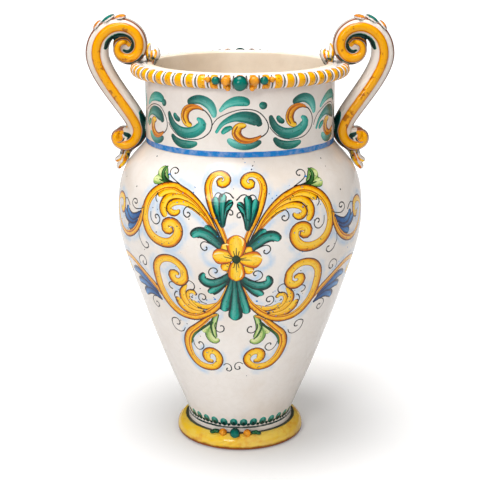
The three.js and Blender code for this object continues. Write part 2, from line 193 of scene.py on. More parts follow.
class Wall:
    """A painted wall of revolution: its radius, slope and hand-thrown unevenness at any place."""

    def __init__(self, outline, wobble):
        self.outline = outline
        self.wobble = wobble

    def radius(self, height):
        return np.interp(height, self.outline[:, 1], self.outline[:, 0])

    def slope(self, height):
        return self.radius(height + 0.5) - self.radius(height - 0.5)

    def dent(self, angle, height):
        turn = np.radians(angle)
        low, high = self.outline[[0, -1], 1]
        edge = np.clip((height - low) / SWELL_MARGIN, 0, 1) * np.clip((high - height) / SWELL_MARGIN, 0, 1)
        waves = (SWELL * np.sin(2 * turn + 1.3 + height * 0.021) * np.sin(height * 0.043 + turn)
                 + SMALL_SWELL * np.sin(5 * turn + 0.7) * np.sin(height * 0.087 + 2)
                 + THROWING_RINGS * np.sin(height * 0.52))
        return edge * self.wobble * (waves / SWELL_MOST - 1) / 2

    def place(self, angle, height):
        radius = self.radius(height) + self.dent(angle, height)
        turn = np.radians(angle)
        return np.stack([radius * np.sin(turn), -radius * np.cos(turn), height], 1)

    def normal(self, angle, height):
        step = 0.4
        high = np.minimum(height + step, self.outline[-1, 1])
        low = np.maximum(height - step, self.outline[0, 1])
        up = self.place(angle, high) - self.place(angle, low)
        side = self.place(angle + step, height) - self.place(angle - step, height)
        return unit(np.cross(side, up))

    def per_degree(self, height):
        return self.radius(height) * math.pi / 180

    def per_rise(self, height):
        return np.sqrt(1 + np.minimum(np.abs(self.slope(height)), 3) ** 2)


# Painted strokes

# Millimetres in a degree of the belly at its widest, near enough: it lays the wall out flat
PER_DEGREE = 2.1
FLAT = (PER_DEGREE, 1)


class Paint:
    """Strokes laid on one wall, later ones over earlier ones."""

    def __init__(self, wall):
        self.wall = wall
        self.strokes = []

    def stroke(self, points, fill, edge, outline=0.0, lean=0.0, spacing=2.4):
        points = np.array(points, float)
        self.strokes.append((points, fill, edge, outline, lean, spacing))

    def plain(self, points, colour, spacing):
        """A stroke of one colour."""
        self.stroke(points, (colour, colour), (colour, colour), spacing=spacing)

    def line(self, points, half=0.6, colour=CHARCOAL):
        taper = np.linspace(0.75, 1.25, len(points))
        widths = [(angle, height, half * share) for (angle, height), share in zip(points, taper)]
        self.plain(widths, colour, 1.6)

    def dot(self, angle, height, radius, colour):
        reach = radius / self.wall.per_degree(height)
        end = radius * 0.6
        line = [(angle - reach, height, end), (angle, height, radius), (angle + reach, height, end)]
        self.plain(line, colour, 0.8)


def cross(a, b):
    return a[..., 0] * b[..., 1] - a[..., 1] * b[..., 0]


def curved(points):
    """A dense smooth line through the points."""
    ends = np.vstack([2 * points[0] - points[1], points, 2 * points[-1] - points[-2]])
    t = np.linspace(0, 1, 24, endpoint=False)[:, None]
    pieces = []
    for a, b, c, d in zip(ends, ends[1:], ends[2:], ends[3:]):
        pieces.append(0.5 * (2 * b + (c - a) * t + (2 * a - 5 * b + 4 * c - d) * t ** 2
                             + (3 * b - 3 * c + d - a) * t ** 3))
    return np.vstack(pieces + [points[-1:]])


def ribbon(wall, points, lean, spacing):
    """Left, middle and right points along a stroke with rounded ends, and how far each lies along it."""
    dense = curved(points)
    across, rise = wall.per_degree(dense[:, 1]), wall.per_rise(dense[:, 1])
    step = np.diff(dense[:, :2], axis=0) * np.stack([across[1:], rise[1:]], 1)
    along = np.concatenate([[0], np.cumsum(np.hypot(step[:, 0], step[:, 1]))])
    length = along[-1]
    first, last = max(dense[0, 2], 0.1), max(dense[-1, 2], 0.1)
    ends = np.array([0, 0.05, 0.2, 0.45, 0.8])
    stations = np.concatenate([np.linspace(0, length, max(2, round(length / spacing)) + 1)[1:-1],
                               first * ends, length - last * ends])
    stations = np.unique(np.clip(stations, 0, length).round(3))
    sampled = np.stack([np.interp(stations, along, dense[:, i]) for i in range(3)], 1)
    ahead = np.stack([np.interp(stations + 0.3, along, dense[:, i]) for i in range(2)], 1)
    behind = np.stack([np.interp(stations - 0.3, along, dense[:, i]) for i in range(2)], 1)
    metric = np.stack([wall.per_degree(sampled[:, 1]), wall.per_rise(sampled[:, 1])], 1)
    way = (ahead - behind) * metric
    way /= np.linalg.norm(way, axis=1)[:, None] + 1e-9
    aside = np.stack([-way[:, 1], way[:, 0]], 1)
    full = np.maximum(sampled[:, 2], 0.05)
    half = full
    for end, size in ((stations, first), (length - stations, last)):
        near = np.clip(end / size, 0, 1)
        half = half * np.maximum(np.sqrt(1 - (1 - near) ** 2), 0.04)
    rows = [sampled[:, :2] + aside * (side * half)[:, None] / metric for side in (1, lean, -1)]
    return rows, stations, half, full


EYE_GAMMA = 2.2


def faded(first, last, share):
    """A colour between two, evenly to the eye."""
    first, last = (np.array(colour) ** (1 / EYE_GAMMA) for colour in (first, last))
    return (first + (last - first) * share) ** EYE_GAMMA


def ribbons(paint, angles):
    """Points, paint values and triangles of all strokes. One that leaves a side comes in on the other."""
    span = angles[-1] - angles[0]
    strokes = []
    for stroke in paint.strokes:
        reach = stroke[0][:, 2].max() / 1.5
        strokes.append(stroke)
        if stroke[0][:, 0].min() - reach < angles[0]:
            strokes.append((stroke[0] + (span, 0, 0), *stroke[1:]))
        if stroke[0][:, 0].max() + reach > angles[-1]:
            strokes.append((stroke[0] - (span, 0, 0), *stroke[1:]))
    places, colours, triangles = [], [], []
    count = 0
    for points, fill, edge, outline, lean, spacing in strokes:
        rows, stations, half, full = ribbon(paint.wall, points, lean, spacing)
        wide = half.max() > 1 and fill != edge
        rows = rows if wide else [rows[0], rows[2]]
        sides = (-1, 0, 1) if wide else (-1, 1)
        share = (stations / stations[-1])[:, None]
        fills, edges = (faded(first, last, share) for first, last in (fill, edge))
        for row, side in zip(rows, sides):
            places.append(row)
            colours.append(np.column_stack([fills, np.ones(len(row)), edges, np.full(len(row), outline),
                                            np.full(len(row), side), stations, half, full]))
        size = len(stations)
        for j in range(len(rows) - 1):
            for i in range(size - 1):
                a = count + j * size + i
                b = a + size
                triangles += [(a, b, a + 1), (a + 1, b, b + 1)]
        count += len(rows) * size
    return np.vstack(places), np.vstack(colours), np.array(triangles)


def laid(paint, angles, heights):
    """Cuts a wall's rectangle of angles and heights into triangles along its strokes.

    Gives each triangle's places, and 12 values per corner: the paint's colour and that it covers, its edge's
    colour and how much it is outlined, and the place in the stroke, which is across, along, the half width
    here and the stroke's own half width."""
    places, values, faces = ribbons(paint, angles)
    grid = np.array([(angle, height) for angle in angles for height in heights])
    flat = places * FLAT
    clear = free_of(grid * FLAT, flat)
    border = ((grid[:, 0] == angles[0]) | (grid[:, 0] == angles[-1])
              | (grid[:, 1] == heights[0]) | (grid[:, 1] == heights[-1]))
    grid = grid[clear | border]
    corners = np.vstack([flat, grid * FLAT])
    area = cross(corners[faces[:, 1]] - corners[faces[:, 0]], corners[faces[:, 2]] - corners[faces[:, 0]])
    faces[area < 0] = faces[area < 0][:, ::-1]
    faces = faces[np.abs(area) > 1e-4]
    edges = np.unique(np.sort(np.vstack([faces[:, :2], faces[:, 1:], faces[:, ::2]])), axis=0).tolist()
    for angle in (angles[0], angles[-1]):
        column = np.flatnonzero(grid[:, 0] == angle) + len(flat)
        column = column[np.argsort(corners[column, 1])]
        edges += list(zip(column[:-1].tolist(), column[1:].tolist()))
    found = delaunay_2d_cdt([Vector(p) for p in corners], edges, [], 0, 1e-5)
    points = np.array([tuple(p) for p in found[0]])
    tris = np.array(found[2])
    middle = points[tris].mean(1)
    top = topmost(corners[faces], middle)
    inside = ((middle[:, 0] > angles[0] * PER_DEGREE) & (middle[:, 0] < angles[-1] * PER_DEGREE)
              & (middle[:, 1] > heights[0]) & (middle[:, 1] < heights[-1]))
    tris, top = tris[inside], top[inside]
    used, same = np.unique(tris, return_inverse=True)
    points, tris = points[used], same.reshape(tris.shape)
    layers = np.zeros((len(tris), 3, 12))
    covered = top >= 0
    owner = faces[top[covered]]
    a, b, c = (corners[owner[:, i]] for i in range(3))
    whole = cross(b - a, c - a)
    for corner in range(3):
        p = points[tris[covered, corner]]
        parts = np.stack([cross(b - p, c - p), cross(c - p, a - p), cross(a - p, b - p)], 1)
        shares = np.clip(parts / whole[:, None], 0, 1)
        shares /= shares.sum(1)[:, None]
        layers[covered, corner] = (values[owner] * shares[:, :, None]).sum(1)
    return points / FLAT, tris, layers


def topmost(shapes, places, cell=3.0):
    """For each place the last of the triangles that hold it, or -1; sorted into cells to be quick."""
    low, high = (np.floor(ends / cell).astype(int) for ends in (shapes.min(1), shapes.max(1)))
    cells, owners = [], []
    for i, j in np.ndindex(*(high - low).max(0) + 1):
        held = np.flatnonzero((low[:, 0] + i <= high[:, 0]) & (low[:, 1] + j <= high[:, 1]))
        cells.append((low[held] + (i, j)) @ (1000000, 1))
        owners.append(held)
    cells, owners = np.concatenate(cells), np.concatenate(owners)
    order = np.lexsort((owners, cells))
    cells, owners = cells[order], owners[order]
    mine = np.floor(places / cell).astype(int) @ (1000000, 1)
    first, tried = np.searchsorted(cells, mine), np.searchsorted(cells, mine, "right") - 1
    top = np.full(len(places), -1)
    waiting = np.flatnonzero(tried >= first)
    while len(waiting):
        owner = owners[tried[waiting]]
        a, b, c = shapes[owner].transpose(1, 0, 2)
        p = places[waiting]
        held = (cross(b - a, p - a) >= 0) & (cross(c - b, p - b) >= 0) & (cross(a - c, p - c) >= 0)
        top[waiting[held]] = owner[held]
        waiting = waiting[~held]
        tried[waiting] -= 1
        waiting = waiting[tried[waiting] >= first[waiting]]
    return top


def free_of(points, others, reach=1.1):
    """Which points have no other point within reach."""
    cells = {}
    for x, y in others:
        cells.setdefault((int(x // reach), int(y // reach)), []).append((x, y))
    free = []
    for x, y in points:
        i, j = int(x // reach), int(y // reach)
        near = (p for di in (-1, 0, 1) for dj in (-1, 0, 1) for p in cells.get((i + di, j + dj), ()))
        free.append(all((p[0] - x) ** 2 + (p[1] - y) ** 2 > reach ** 2 for p in near))
    return np.array(free)


# Meshes

GLAZE_IOR = 1.36


def attach(mesh, key, values, domain):
    """Writes values into an attribute of a mesh, of the kind that their width asks for."""
    kind = {1: "FLOAT", 3: "FLOAT_VECTOR", 4: "FLOAT_COLOR"}[values.shape[-1] if values.ndim > 1 else 1]
    field = {"FLOAT": "value", "FLOAT_VECTOR": "vector", "FLOAT_COLOR": "color"}[kind]
    mesh.attributes.new(key, kind, domain).data.foreach_set(field, values.astype(np.float32).ravel())


def added(name, data):
    """A new object of the data, in the scene."""
    thing = bpy.data.objects.new(name, data)
    bpy.context.scene.collection.objects.link(thing)
    return thing


def mesh_of(name, vertices, faces):
    mesh = bpy.data.meshes.new(name)
    mesh.from_pydata((np.asarray(vertices) * MM).tolist(), [], [list(f) for f in faces])
    mesh.update()
    return mesh


def piece(name, node, mesh, sharp=38):
    """Puts a finished mesh in the scene in place of a CAD node."""
    mesh.update()
    mesh.shade_smooth()
    if sharp:
        mesh.set_sharp_from_angle(angle=math.radians(sharp))
    thing = added(name, mesh)
    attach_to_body(thing, "root")
    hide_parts(node)
    return thing


class Shell:
    """Triangles of one turned piece, with the attributes that its materials read."""

    def __init__(self):
        self.parts = []
        self.count = 0

    def add(self, vertices, triangles, uv, material, layers=None, normals=None, halo=None):
        size = len(triangles)
        self.parts.append((vertices, np.array(triangles) + self.count, uv, np.full(size, material),
                           np.zeros((size, 3, 12)) if layers is None else layers,
                           np.zeros((len(vertices), 3)) if normals is None else normals,
                           np.zeros(len(vertices)) if halo is None else halo))
        self.count += len(vertices)

    def finish(self, name, node, materials):
        vertices, triangles, uv, material, layers, normals, halo = map(np.concatenate, zip(*self.parts))
        _, first, same = np.unique(np.round(vertices, 3), axis=0, return_index=True, return_inverse=True)
        triangles = same.ravel()[triangles]
        solid = ((triangles[:, 0] != triangles[:, 1]) & (triangles[:, 1] != triangles[:, 2])
                 & (triangles[:, 2] != triangles[:, 0]))
        triangles, uv, material, layers = (part[solid] for part in (triangles, uv, material, layers))
        mesh = mesh_of(name, vertices[first], triangles.tolist())
        mesh.polygons.foreach_set("material_index", material.astype(np.int32))
        for finish in materials:
            mesh.materials.append(finish)
        flat = layers.reshape(-1, 12)
        for key, first_layer in (("fill", 0), ("edge", 4), ("stroke", 8)):
            attach(mesh, key, flat[:, first_layer:first_layer + 4], "CORNER")
        attach(mesh, "halo", halo[first], "POINT")
        mesh.uv_layers.new(name="OFBake").data.foreach_set("uv", uv.astype(np.float32).ravel())
        thing = piece(name, node, mesh)
        mesh.normals_split_custom_set_from_vertices(normals[first].tolist())
        return thing


def lathe(outline, columns, band, closed=False):
    """Triangles of an outline of (radius, height) points turned about the axis, facing its right side."""
    outline = np.array(outline, float)
    if closed:
        outline = np.vstack([outline, outline[:1]])
    turn = np.radians(-90 + 360 * np.arange(columns + 1) / columns)
    radius, height = outline[:, 0][:, None], outline[:, 1][:, None]
    vertices = np.stack([radius * np.sin(turn), -radius * np.cos(turn), height + 0 * turn], 2)
    rows = len(outline)
    length = distances(outline)
    across = np.broadcast_to(np.arange(columns + 1) / columns, (rows, columns + 1))
    up = np.broadcast_to((band[0] + (band[1] - band[0]) * length / length[-1])[:, None], (rows, columns + 1))
    places = np.stack([across, up], 2).reshape(-1, 2)
    index = np.arange(rows * (columns + 1)).reshape(rows, columns + 1)
    a, b, c, d = index[:-1, :-1], index[:-1, 1:], index[1:, 1:], index[1:, :-1]
    triangles = np.concatenate([np.stack(half, 2).reshape(-1, 3) for half in ((a, b, c), (a, c, d))])
    return vertices.reshape(-1, 3), triangles, places[triangles]


def painted(shell, wall, paint, angles, heights, material, bands, halo_of=None, repeats=2):
    """Adds a painted wall to a shell: the painting is laid once and repeated round the axis."""
    points, triangles, layers = laid(paint, angles, heights)
    halo = halo_of(points) if halo_of else np.zeros(len(points))
    span = angles[-1] - angles[0]
    for turn in range(repeats):
        angle = points[:, 0] + span * turn
        low, high = bands[turn * len(bands) // repeats]
        share = repeats // len(bands)
        u = ((points[:, 0] - angles[0]) / span + turn % share) / share
        v = low + (high - low) * (points[:, 1] - heights[0]) / (heights[-1] - heights[0])
        shell.add(wall.place(angle, points[:, 1]), triangles, np.stack([u, v], 1)[triangles], material,
                  layers, wall.normal(angle, points[:, 1]), halo)


# Materials

class Shader:
    """A material or world under construction, with short names for the nodes that it uses most."""

    def __init__(self, name, owner=None):
        self.material = owner or bpy.data.materials.new(name)
        self.material.use_nodes = True
        self.tree = self.material.node_tree
        self.tree.nodes.clear()
        self.spot = self.add("ShaderNodeTexCoord").outputs["Object"]

    def add(self, kind, inputs=None, **settings):
        made = self.tree.nodes.new(kind)
        for key, value in settings.items():
            setattr(made, key, value)
        for key, value in (inputs or {}).items():
            self.feed(made.inputs[key], value)
        return made

    def feed(self, socket, value):
        if isinstance(value, bpy.types.NodeSocket):
            self.tree.links.new(value, socket)
        elif isinstance(value, tuple) and len(value) == 3 and socket.type == "RGBA":
            socket.default_value = value + (1,)
        else:
            socket.default_value = value

    def sum(self, operation, *values):
        return self.add("ShaderNodeMath", dict(enumerate(values)), operation=operation).outputs[0]

    def times(self, *values):
        return self.sum("MULTIPLY", *values)

    def plus(self, *values):
        return self.sum("ADD", *values)

    def minus(self, *values):
        return self.sum("SUBTRACT", *values)

    def over(self, *values):
        return self.sum("DIVIDE", *values)

    def size(self, value):
        return self.sum("ABSOLUTE", value)

    def wander(self, scale, reach, detail=2.0, rough=0.5):
        """Noise that goes as far below nought as above it."""
        return self.times(self.minus(self.noise(scale, detail, rough), 0.5), reach)

    def ramp(self, value, low, high, start=0.0, end=1.0):
        inputs = {"Value": value, "From Min": low, "From Max": high, "To Min": start, "To Max": end}
        return self.add("ShaderNodeMapRange", inputs, interpolation_type="SMOOTHSTEP").outputs[0]

    def blend(self, factor, first, second):
        made = self.add("ShaderNodeMix", data_type="RGBA", blend_type="MIX", clamp_factor=True)
        for key, value in ((0, factor), (6, first), (7, second)):
            self.feed(made.inputs[key], value)
        return made.outputs[2]

    def noise(self, scale, detail=2.0, rough=0.5, vector=None):
        inputs = {"Vector": vector or self.spot, "Scale": scale, "Detail": detail, "Roughness": rough}
        return self.add("ShaderNodeTexNoise", inputs).outputs["Fac"]

    def cells(self, scale, feature="F1"):
        inputs = {"Vector": self.spot, "Scale": scale}
        return self.add("ShaderNodeTexVoronoi", inputs, feature=feature)

    def read(self, key):
        return self.add("ShaderNodeAttribute", attribute_name=key)

    def split(self, vector):
        return self.add("ShaderNodeSeparateXYZ", {0: vector}).outputs

    def bump(self, height, strength, distance, under=None):
        inputs = {"Height": height, "Strength": strength, "Distance": distance}
        if under:
            inputs["Normal"] = under
        return self.add("ShaderNodeBump", inputs).outputs[0]

    def glazed(self, colour):
        """The finished material: a fired glaze with small ripples, orange peel and dust nibs."""
        rough = self.ramp(self.noise(38, 3, 0.6), 0.3, 0.75, 0.07, 0.18)
        ripple = self.bump(self.noise(26), 0.18, 0.001)
        peel = self.bump(self.noise(420), 0.10, 0.0002, ripple)
        inputs = {"Base Color": colour, "Roughness": rough, "Normal": peel, "IOR": GLAZE_IOR}
        shader = self.add("ShaderNodeBsdfPrincipled", inputs)
        output = self.add("ShaderNodeOutputMaterial")
        self.tree.links.new(shader.outputs[0], output.inputs[0])
        return self.material


def pinholes(s, scale, radius, share):
    """A mask of scattered dots, of about the radius in metres, in a share of the cells."""
    cells = s.cells(scale)
    chance = s.split(cells.outputs["Color"])
    size = s.times(chance[1], radius * scale * 1.6)
    inside = s.sum("LESS_THAN", cells.outputs["Distance"], size)
    return s.times(inside, s.sum("LESS_THAN", chance[0], share))


def tin_glaze(s, base, stain=0.30):
    """Mottled glaze colour with stains, pinholes and a faint crackle."""
    cloud = s.ramp(s.noise(11, 4, 0.6), 0.42, 0.75)
    colour = s.blend(s.times(cloud, stain), base, STAIN_AND_SHADE)
    fleck = s.ramp(s.noise(170, 3, 0.6), 0.35, 0.75, 0.0, 0.10)
    colour = s.blend(fleck, colour, srgb(0.80, 0.77, 0.72))
    crack = s.ramp(s.cells(60, "DISTANCE_TO_EDGE").outputs["Distance"], 0.0, 0.012, 0.13, 0.0)
    colour = s.blend(crack, colour, STAIN_AND_SHADE)
    colour = s.blend(s.times(pinholes(s, 62, 0.00062, 0.22), 0.9), colour, SPECK)
    return s.blend(s.times(pinholes(s, 32, 0.0011, 0.08), 0.35), colour, STAIN_AND_SHADE)


def brushwork(s, glaze):
    """Lays the painted strokes over a glaze colour: streaks along each stroke, pooled edges, a painted
    highlight along the crest, an outline.
    """
    fill, edge, stroke = s.read("fill"), s.read("edge"), s.read("stroke")
    across, along, half = s.split(stroke.outputs["Vector"])
    full = stroke.outputs["Alpha"]
    middle = s.minus(1.0, s.size(across))
    wander = s.wander(900, 0.5, 1)
    inset = s.plus(s.times(middle, half), wander)
    offset = s.times(across, half)
    lane = s.add("ShaderNodeCombineXYZ", {0: s.times(offset, 1.3), 1: s.times(along, 0.09)})
    streak = s.noise(1.0, 3, 0.65, lane.outputs[0])
    reach = s.plus(s.times(full, 0.62), 0.2)
    uneven = s.times(s.minus(streak, 0.5), s.ramp(full, 4, 7, 1.8, 0.6))
    body = s.ramp(inset, 0.2, reach)
    body = s.ramp(s.plus(body, uneven), 0.15, 0.8)
    colour = s.blend(body, edge.outputs["Color"], fill.outputs["Color"])
    # Painted highlight: a brightened copy of the fill along each stroke's crest, kept off the darkest fills
    crest = s.plus(s.over(inset, full), s.times(uneven, 0.6))
    bright = s.ramp(s.split(fill.outputs["Color"])[1], 0.05, 0.2)
    light = s.times(s.ramp(crest, 0.5, 0.95), s.ramp(full, 1.2, 2.2))
    pale = s.add("ShaderNodeGamma", {"Color": s.blend(0.03, fill.outputs["Color"], IVORY), "Gamma": 0.72})
    colour = s.blend(s.times(light, bright), colour, pale.outputs[0])
    dark = s.ramp(streak, 0.32, 0.43, 0.8, 0.0)
    colour = s.blend(dark, colour, edge.outputs["Color"])
    fleck = s.ramp(s.noise(430, 2), 0.65, 0.70, 0.0, 0.7)
    colour = s.blend(s.times(fleck, s.ramp(full, 1.2, 2.2)), colour, CHARCOAL)
    rim = s.ramp(inset, 0.5, 0.95, 1.0, 0.0)
    rim = s.times(rim, edge.outputs["Alpha"])
    colour = s.blend(rim, colour, BROWN)
    thin = s.ramp(s.noise(260, 3, 0.6), 0.25, 0.6, 0.97, 1.0)
    return s.blend(s.times(fill.outputs["Alpha"], thin), glaze, colour)


def painted_glaze(name, base, rings):
    """Glaze with painted rings, each from one height to another, a blue wash and the strokes."""
    s = Shader(name)
    colour = tin_glaze(s, base)
    height = s.times(s.split(s.spot)[2], 1000.0)
    height = s.plus(height, s.wander(90, 0.8))
    thin = s.ramp(s.noise(120, 3, 0.6), 0.3, 0.6, 0.75, 1.0)
    for low, high, paint in rings:
        middle, half = (low + high) / 2, (high - low) / 2
        band = s.ramp(s.size(s.minus(height, middle)), half - 0.2, half + 0.1, 1.0, 0.0)
        colour = s.blend(s.times(band, thin), colour, paint)
    wash = s.ramp(s.noise(45, 3, 0.6), 0.32, 0.62, 0.0, 0.95)
    colour = s.blend(s.times(s.read("halo").outputs["Fac"], wash), colour, HALO)
    return s.glazed(brushwork(s, colour))


def plain_glaze(name, base):
    s = Shader(name)
    return s.glazed(tin_glaze(s, base, 0.5))


# The walls

COLUMNS = 132
HALF_TURN = np.linspace(-90, 90, COLUMNS + 1)


def inward(outline, thickness):
    """Points a wall's thickness inside an outer surface, measured square to it."""
    way = unit(np.gradient(outline, axis=0))
    return outline + thickness * np.stack([-way[:, 1], way[:, 0]], 1)


# Distances from a gold stroke: where the pale blue wash round it is strongest and where it ends
HALO_MIDDLE, HALO_END = 2.2, 6.5


def halo_round(paint):
    """How strongly the pale blue wash shows at each place, near the gold strokes."""
    samples = []
    for points, fill, *_ in paint.strokes:
        if fill[1] == YELLOW:
            dense = curved(points)[::4]
            samples.append(dense * (PER_DEGREE, 1, 1))
    samples = np.vstack(samples) if samples else np.zeros((0, 3))

    def strength(points):
        if not len(samples):
            return np.zeros(len(points))
        nearest = np.full(len(points), 99.0)
        for start in range(0, len(samples), 400):
            some = samples[start:start + 400]
            gap = np.hypot(points[:, None, 0] * PER_DEGREE - some[None, :, 0],
                           points[:, None, 1] - some[None, :, 1])
            nearest = np.minimum(nearest, (gap - some[None, :, 2]).min(1))
        return np.clip(1 - np.abs(nearest - HALO_MIDDLE) / (HALO_END - HALO_MIDDLE), 0, 1)

    return strength


def build_belly(paint, glaze, lining):
    """The painted wall, the lining with the seat of the neck, and the plug's underside."""
    outline = belly_outline()
    wall = paint.wall
    heights = np.concatenate([[BAND_BASE, BAND_TOP - 2, BAND_TOP, BAND_TOP + 1],
                              np.linspace(BAND_TOP + 4, BELLY_TOP, 98)])
    shell = Shell()
    painted(shell, wall, paint, HALF_TURN, heights, 0, ((0.56, 1.0), (0.11, 0.55)), halo_round(paint))
    seat = NECK_BORE + TONGUE_THICKNESS + CLEARANCE
    ledge = BELLY_TOP - TONGUE_DEPTH
    base = LEDGE_HEIGHT + CLEARANCE
    floor_top = base + FLOOR
    skin = outline[2:]
    hollow = inward(skin, WALL)
    hollow = hollow[(hollow[:, 1] > floor_top + WALL) & (hollow[:, 1] < ledge - WALL)][::-3]
    corner = (PLUG_RADIUS - WALL - INNER_ROUNDING, floor_top + INNER_ROUNDING)
    inner = np.vstack([
        [(outline[-1, 0], BELLY_TOP), (seat, BELLY_TOP), (seat, ledge), (NECK_BORE, ledge),
         (NECK_BORE, ledge - 3)],
        hollow,
        arc(corner, INNER_ROUNDING, -INNER_ROUNDING, 0, 90, 6),
        [(20, floor_top), (0, floor_top)]])
    under = [(0, base), (PLUG_RADIUS, base), (PLUG_RADIUS, BAND_BASE), (BAND_RADIUS, BAND_BASE)]
    shell.add(*lathe(inner, COLUMNS * 2, (0.02, 0.1)), 1)
    shell.add(*lathe(under, COLUMNS * 2, (0.0, 0.02)), 1)
    return shell.finish("glazed_belly", "belly", [glaze, lining])


def build_neck(paint, glaze, lining):
    """The painted wall, and the lip, lining and tongue."""
    ledge = RIM_TOP - LEDGE_DROP
    lip = NECK_RADIUS - LEDGE_WIDTH
    heights = np.linspace(NECK_BASE, ledge, 26)
    shell = Shell()
    turn = np.linspace(-180, 180, COLUMNS * 2 + 1)
    painted(shell, paint.wall, paint, turn, heights, 0, ((0.4, 1.0),), repeats=1)
    low = NECK_BASE - TONGUE_DEPTH
    tongue = NECK_BORE + TONGUE_THICKNESS
    top = [(NECK_RADIUS, ledge), (lip, ledge), (lip, RIM_TOP - 0.5)]
    for across, *sweep in ((lip - LIP_ROUNDING, 40, 90, 4), (NECK_BORE + LIP_ROUNDING, 90, 180, 6)):
        top += list(arc((across, RIM_TOP - LIP_ROUNDING), LIP_ROUNDING, LIP_ROUNDING, *sweep))
    top += [(NECK_BORE, height) for height in np.linspace(RIM_TOP - 8, low, 14)]
    top += [(tongue, low), (tongue, NECK_BASE), (NECK_RADIUS, NECK_BASE)]
    shell.add(*lathe(top, COLUMNS * 2, (0.0, 0.38)), 1)
    return shell.finish("glazed_neck", "neck_collar", [glaze, lining])


def rim_shader():
    """White gadroons, each with a gold lozenge edged in orange, and charcoal lines between them."""
    s = Shader("gadroon glaze")
    glaze = tin_glaze(s, IVORY)
    across, up, _ = s.split(s.read("gadroon").outputs["Vector"])
    aside = s.size(across)
    wander = s.wander(330, 0.30)
    body = s.plus(s.sum("POWER", s.over(aside, 0.60), 4.0),
                 s.sum("POWER", s.size(s.over(s.minus(up, 0.47), 0.47)), 4.0))
    body = s.plus(body, wander)
    lozenge = s.ramp(body, 0.92, 1.1, 1.0, 0.0)
    heart = s.ramp(s.plus(body, s.times(s.noise(210, 2), 0.5)), 0.55, 1.15)
    paint = s.blend(heart, GADROON_GOLD, ORANGE)
    fleck = s.ramp(s.noise(390, 2), 0.6, 0.66, 0.0, 0.65)
    paint = s.blend(fleck, paint, BURNT)
    colour = s.blend(lozenge, glaze, paint)
    line = s.ramp(s.plus(aside, s.times(wander, 0.25)), 0.82, 0.9)
    tall = s.ramp(s.size(s.minus(up, 0.48)), 0.40, 0.47, 0.9, 0.0)
    colour = s.blend(s.times(line, tall), colour, CHARCOAL)
    under = s.ramp(up, 0.0, 0.09, 0.6, 0.0)
    colour = s.blend(under, colour, BURNT)
    return s.glazed(colour)


# A gadroon's columns, how flat its back is, and how far its sides sink, how soon, and how much they droop
PER_LOBE = 14
LOBE_FLATNESS = 2.4
LOBE_SINK = 1.05
LOBE_START = 0.7
LOBE_DROOP = 0.10


def build_rim(glaze):
    """The band of gadroons: the roll between the underside and the groove is lobed."""
    ledge = RIM_TOP - LEDGE_DROP + CLEARANCE
    bore = NECK_RADIUS - LEDGE_WIDTH + CLEARANCE
    middle = (RIM_TOP + RIM_UNDERSIDE) / 2
    roll = arc((RIM_RADIUS - RIM_ROLL, middle), RIM_ROLL, RIM_TOP - middle, -90, 90, 22)
    groove = [(GROOVE_RADIUS + 1.6, RIM_TOP - GROOVE_DEPTH * 0.7), (GROOVE_RADIUS, RIM_TOP - GROOVE_DEPTH),
              (GROOVE_RADIUS - 1.0, RIM_TOP - GROOVE_DEPTH * 0.6)]
    bead = arc((GROOVE_RADIUS - 3.0, RIM_TOP - 1), 1.6, 1, 30, 120, 5)
    outline = np.vstack([[(NECK_RADIUS + CLEARANCE, RIM_UNDERSIDE)], roll, groove, bead,
                         [(bore, RIM_TOP - 1), (bore, ledge), (NECK_RADIUS + CLEARANCE, ledge)]])
    share = np.concatenate([[0], np.linspace(0, 1, len(roll)), np.full(len(outline) - 1 - len(roll), 1.4)])
    columns = GADROONS * PER_LOBE
    turn = np.arange(columns) * 2 * math.pi / columns
    phase = ((np.arange(columns) % PER_LOBE) / PER_LOBE * 2 + 1) % 2 - 1
    lobe = np.abs(phase) ** LOBE_FLATNESS
    radius = np.repeat(outline[:, :1], columns, 1)
    height = np.repeat(outline[:, 1:], columns, 1)
    swell = np.clip((radius - GROOVE_RADIUS - 1) / (RIM_RADIUS - GROOVE_RADIUS - 1), 0, 1) ** LOBE_START
    uneven = 1 + 0.25 * np.sin(np.arange(columns) // PER_LOBE * 2.4 + 1)
    radius = radius - GADROON_DEPTH * LOBE_SINK * swell * lobe
    height = height - (height - middle) * LOBE_DROOP * swell * lobe * uneven
    vertices = np.stack([radius * np.sin(turn), -radius * np.cos(turn), height], 2).reshape(-1, 3)
    rows = len(outline)
    index = np.arange(rows * columns).reshape(rows, columns)
    after = np.roll(index, -1, 1)
    below, above = index, np.roll(index, -1, 0)
    faces = np.stack([below, after, np.roll(after, -1, 0), above], 2).reshape(-1, 4)
    mesh = mesh_of("gadrooned_rim", vertices, faces.tolist())
    mesh.materials.append(glaze)
    gadroon = np.stack([np.broadcast_to(phase, (rows, columns)), np.repeat(share[:, None], columns, 1),
                        np.zeros((rows, columns))], 2).reshape(-1, 3)
    corner_phase = gadroon[faces.ravel()].reshape(-1, 4, 3)
    wrapped = np.abs(corner_phase[:, :, 0].max(1) - corner_phase[:, :, 0].min(1)) > 1.5
    swap = wrapped[:, None] & (corner_phase[:, :, 0] < -0.5)
    corner_phase[:, :, 0] = np.where(swap, corner_phase[:, :, 0] + 2, corner_phase[:, :, 0])
    attach(mesh, "gadroon", corner_phase.reshape(-1, 3), "CORNER")
    return piece("gadrooned_rim", "rim_band", mesh)


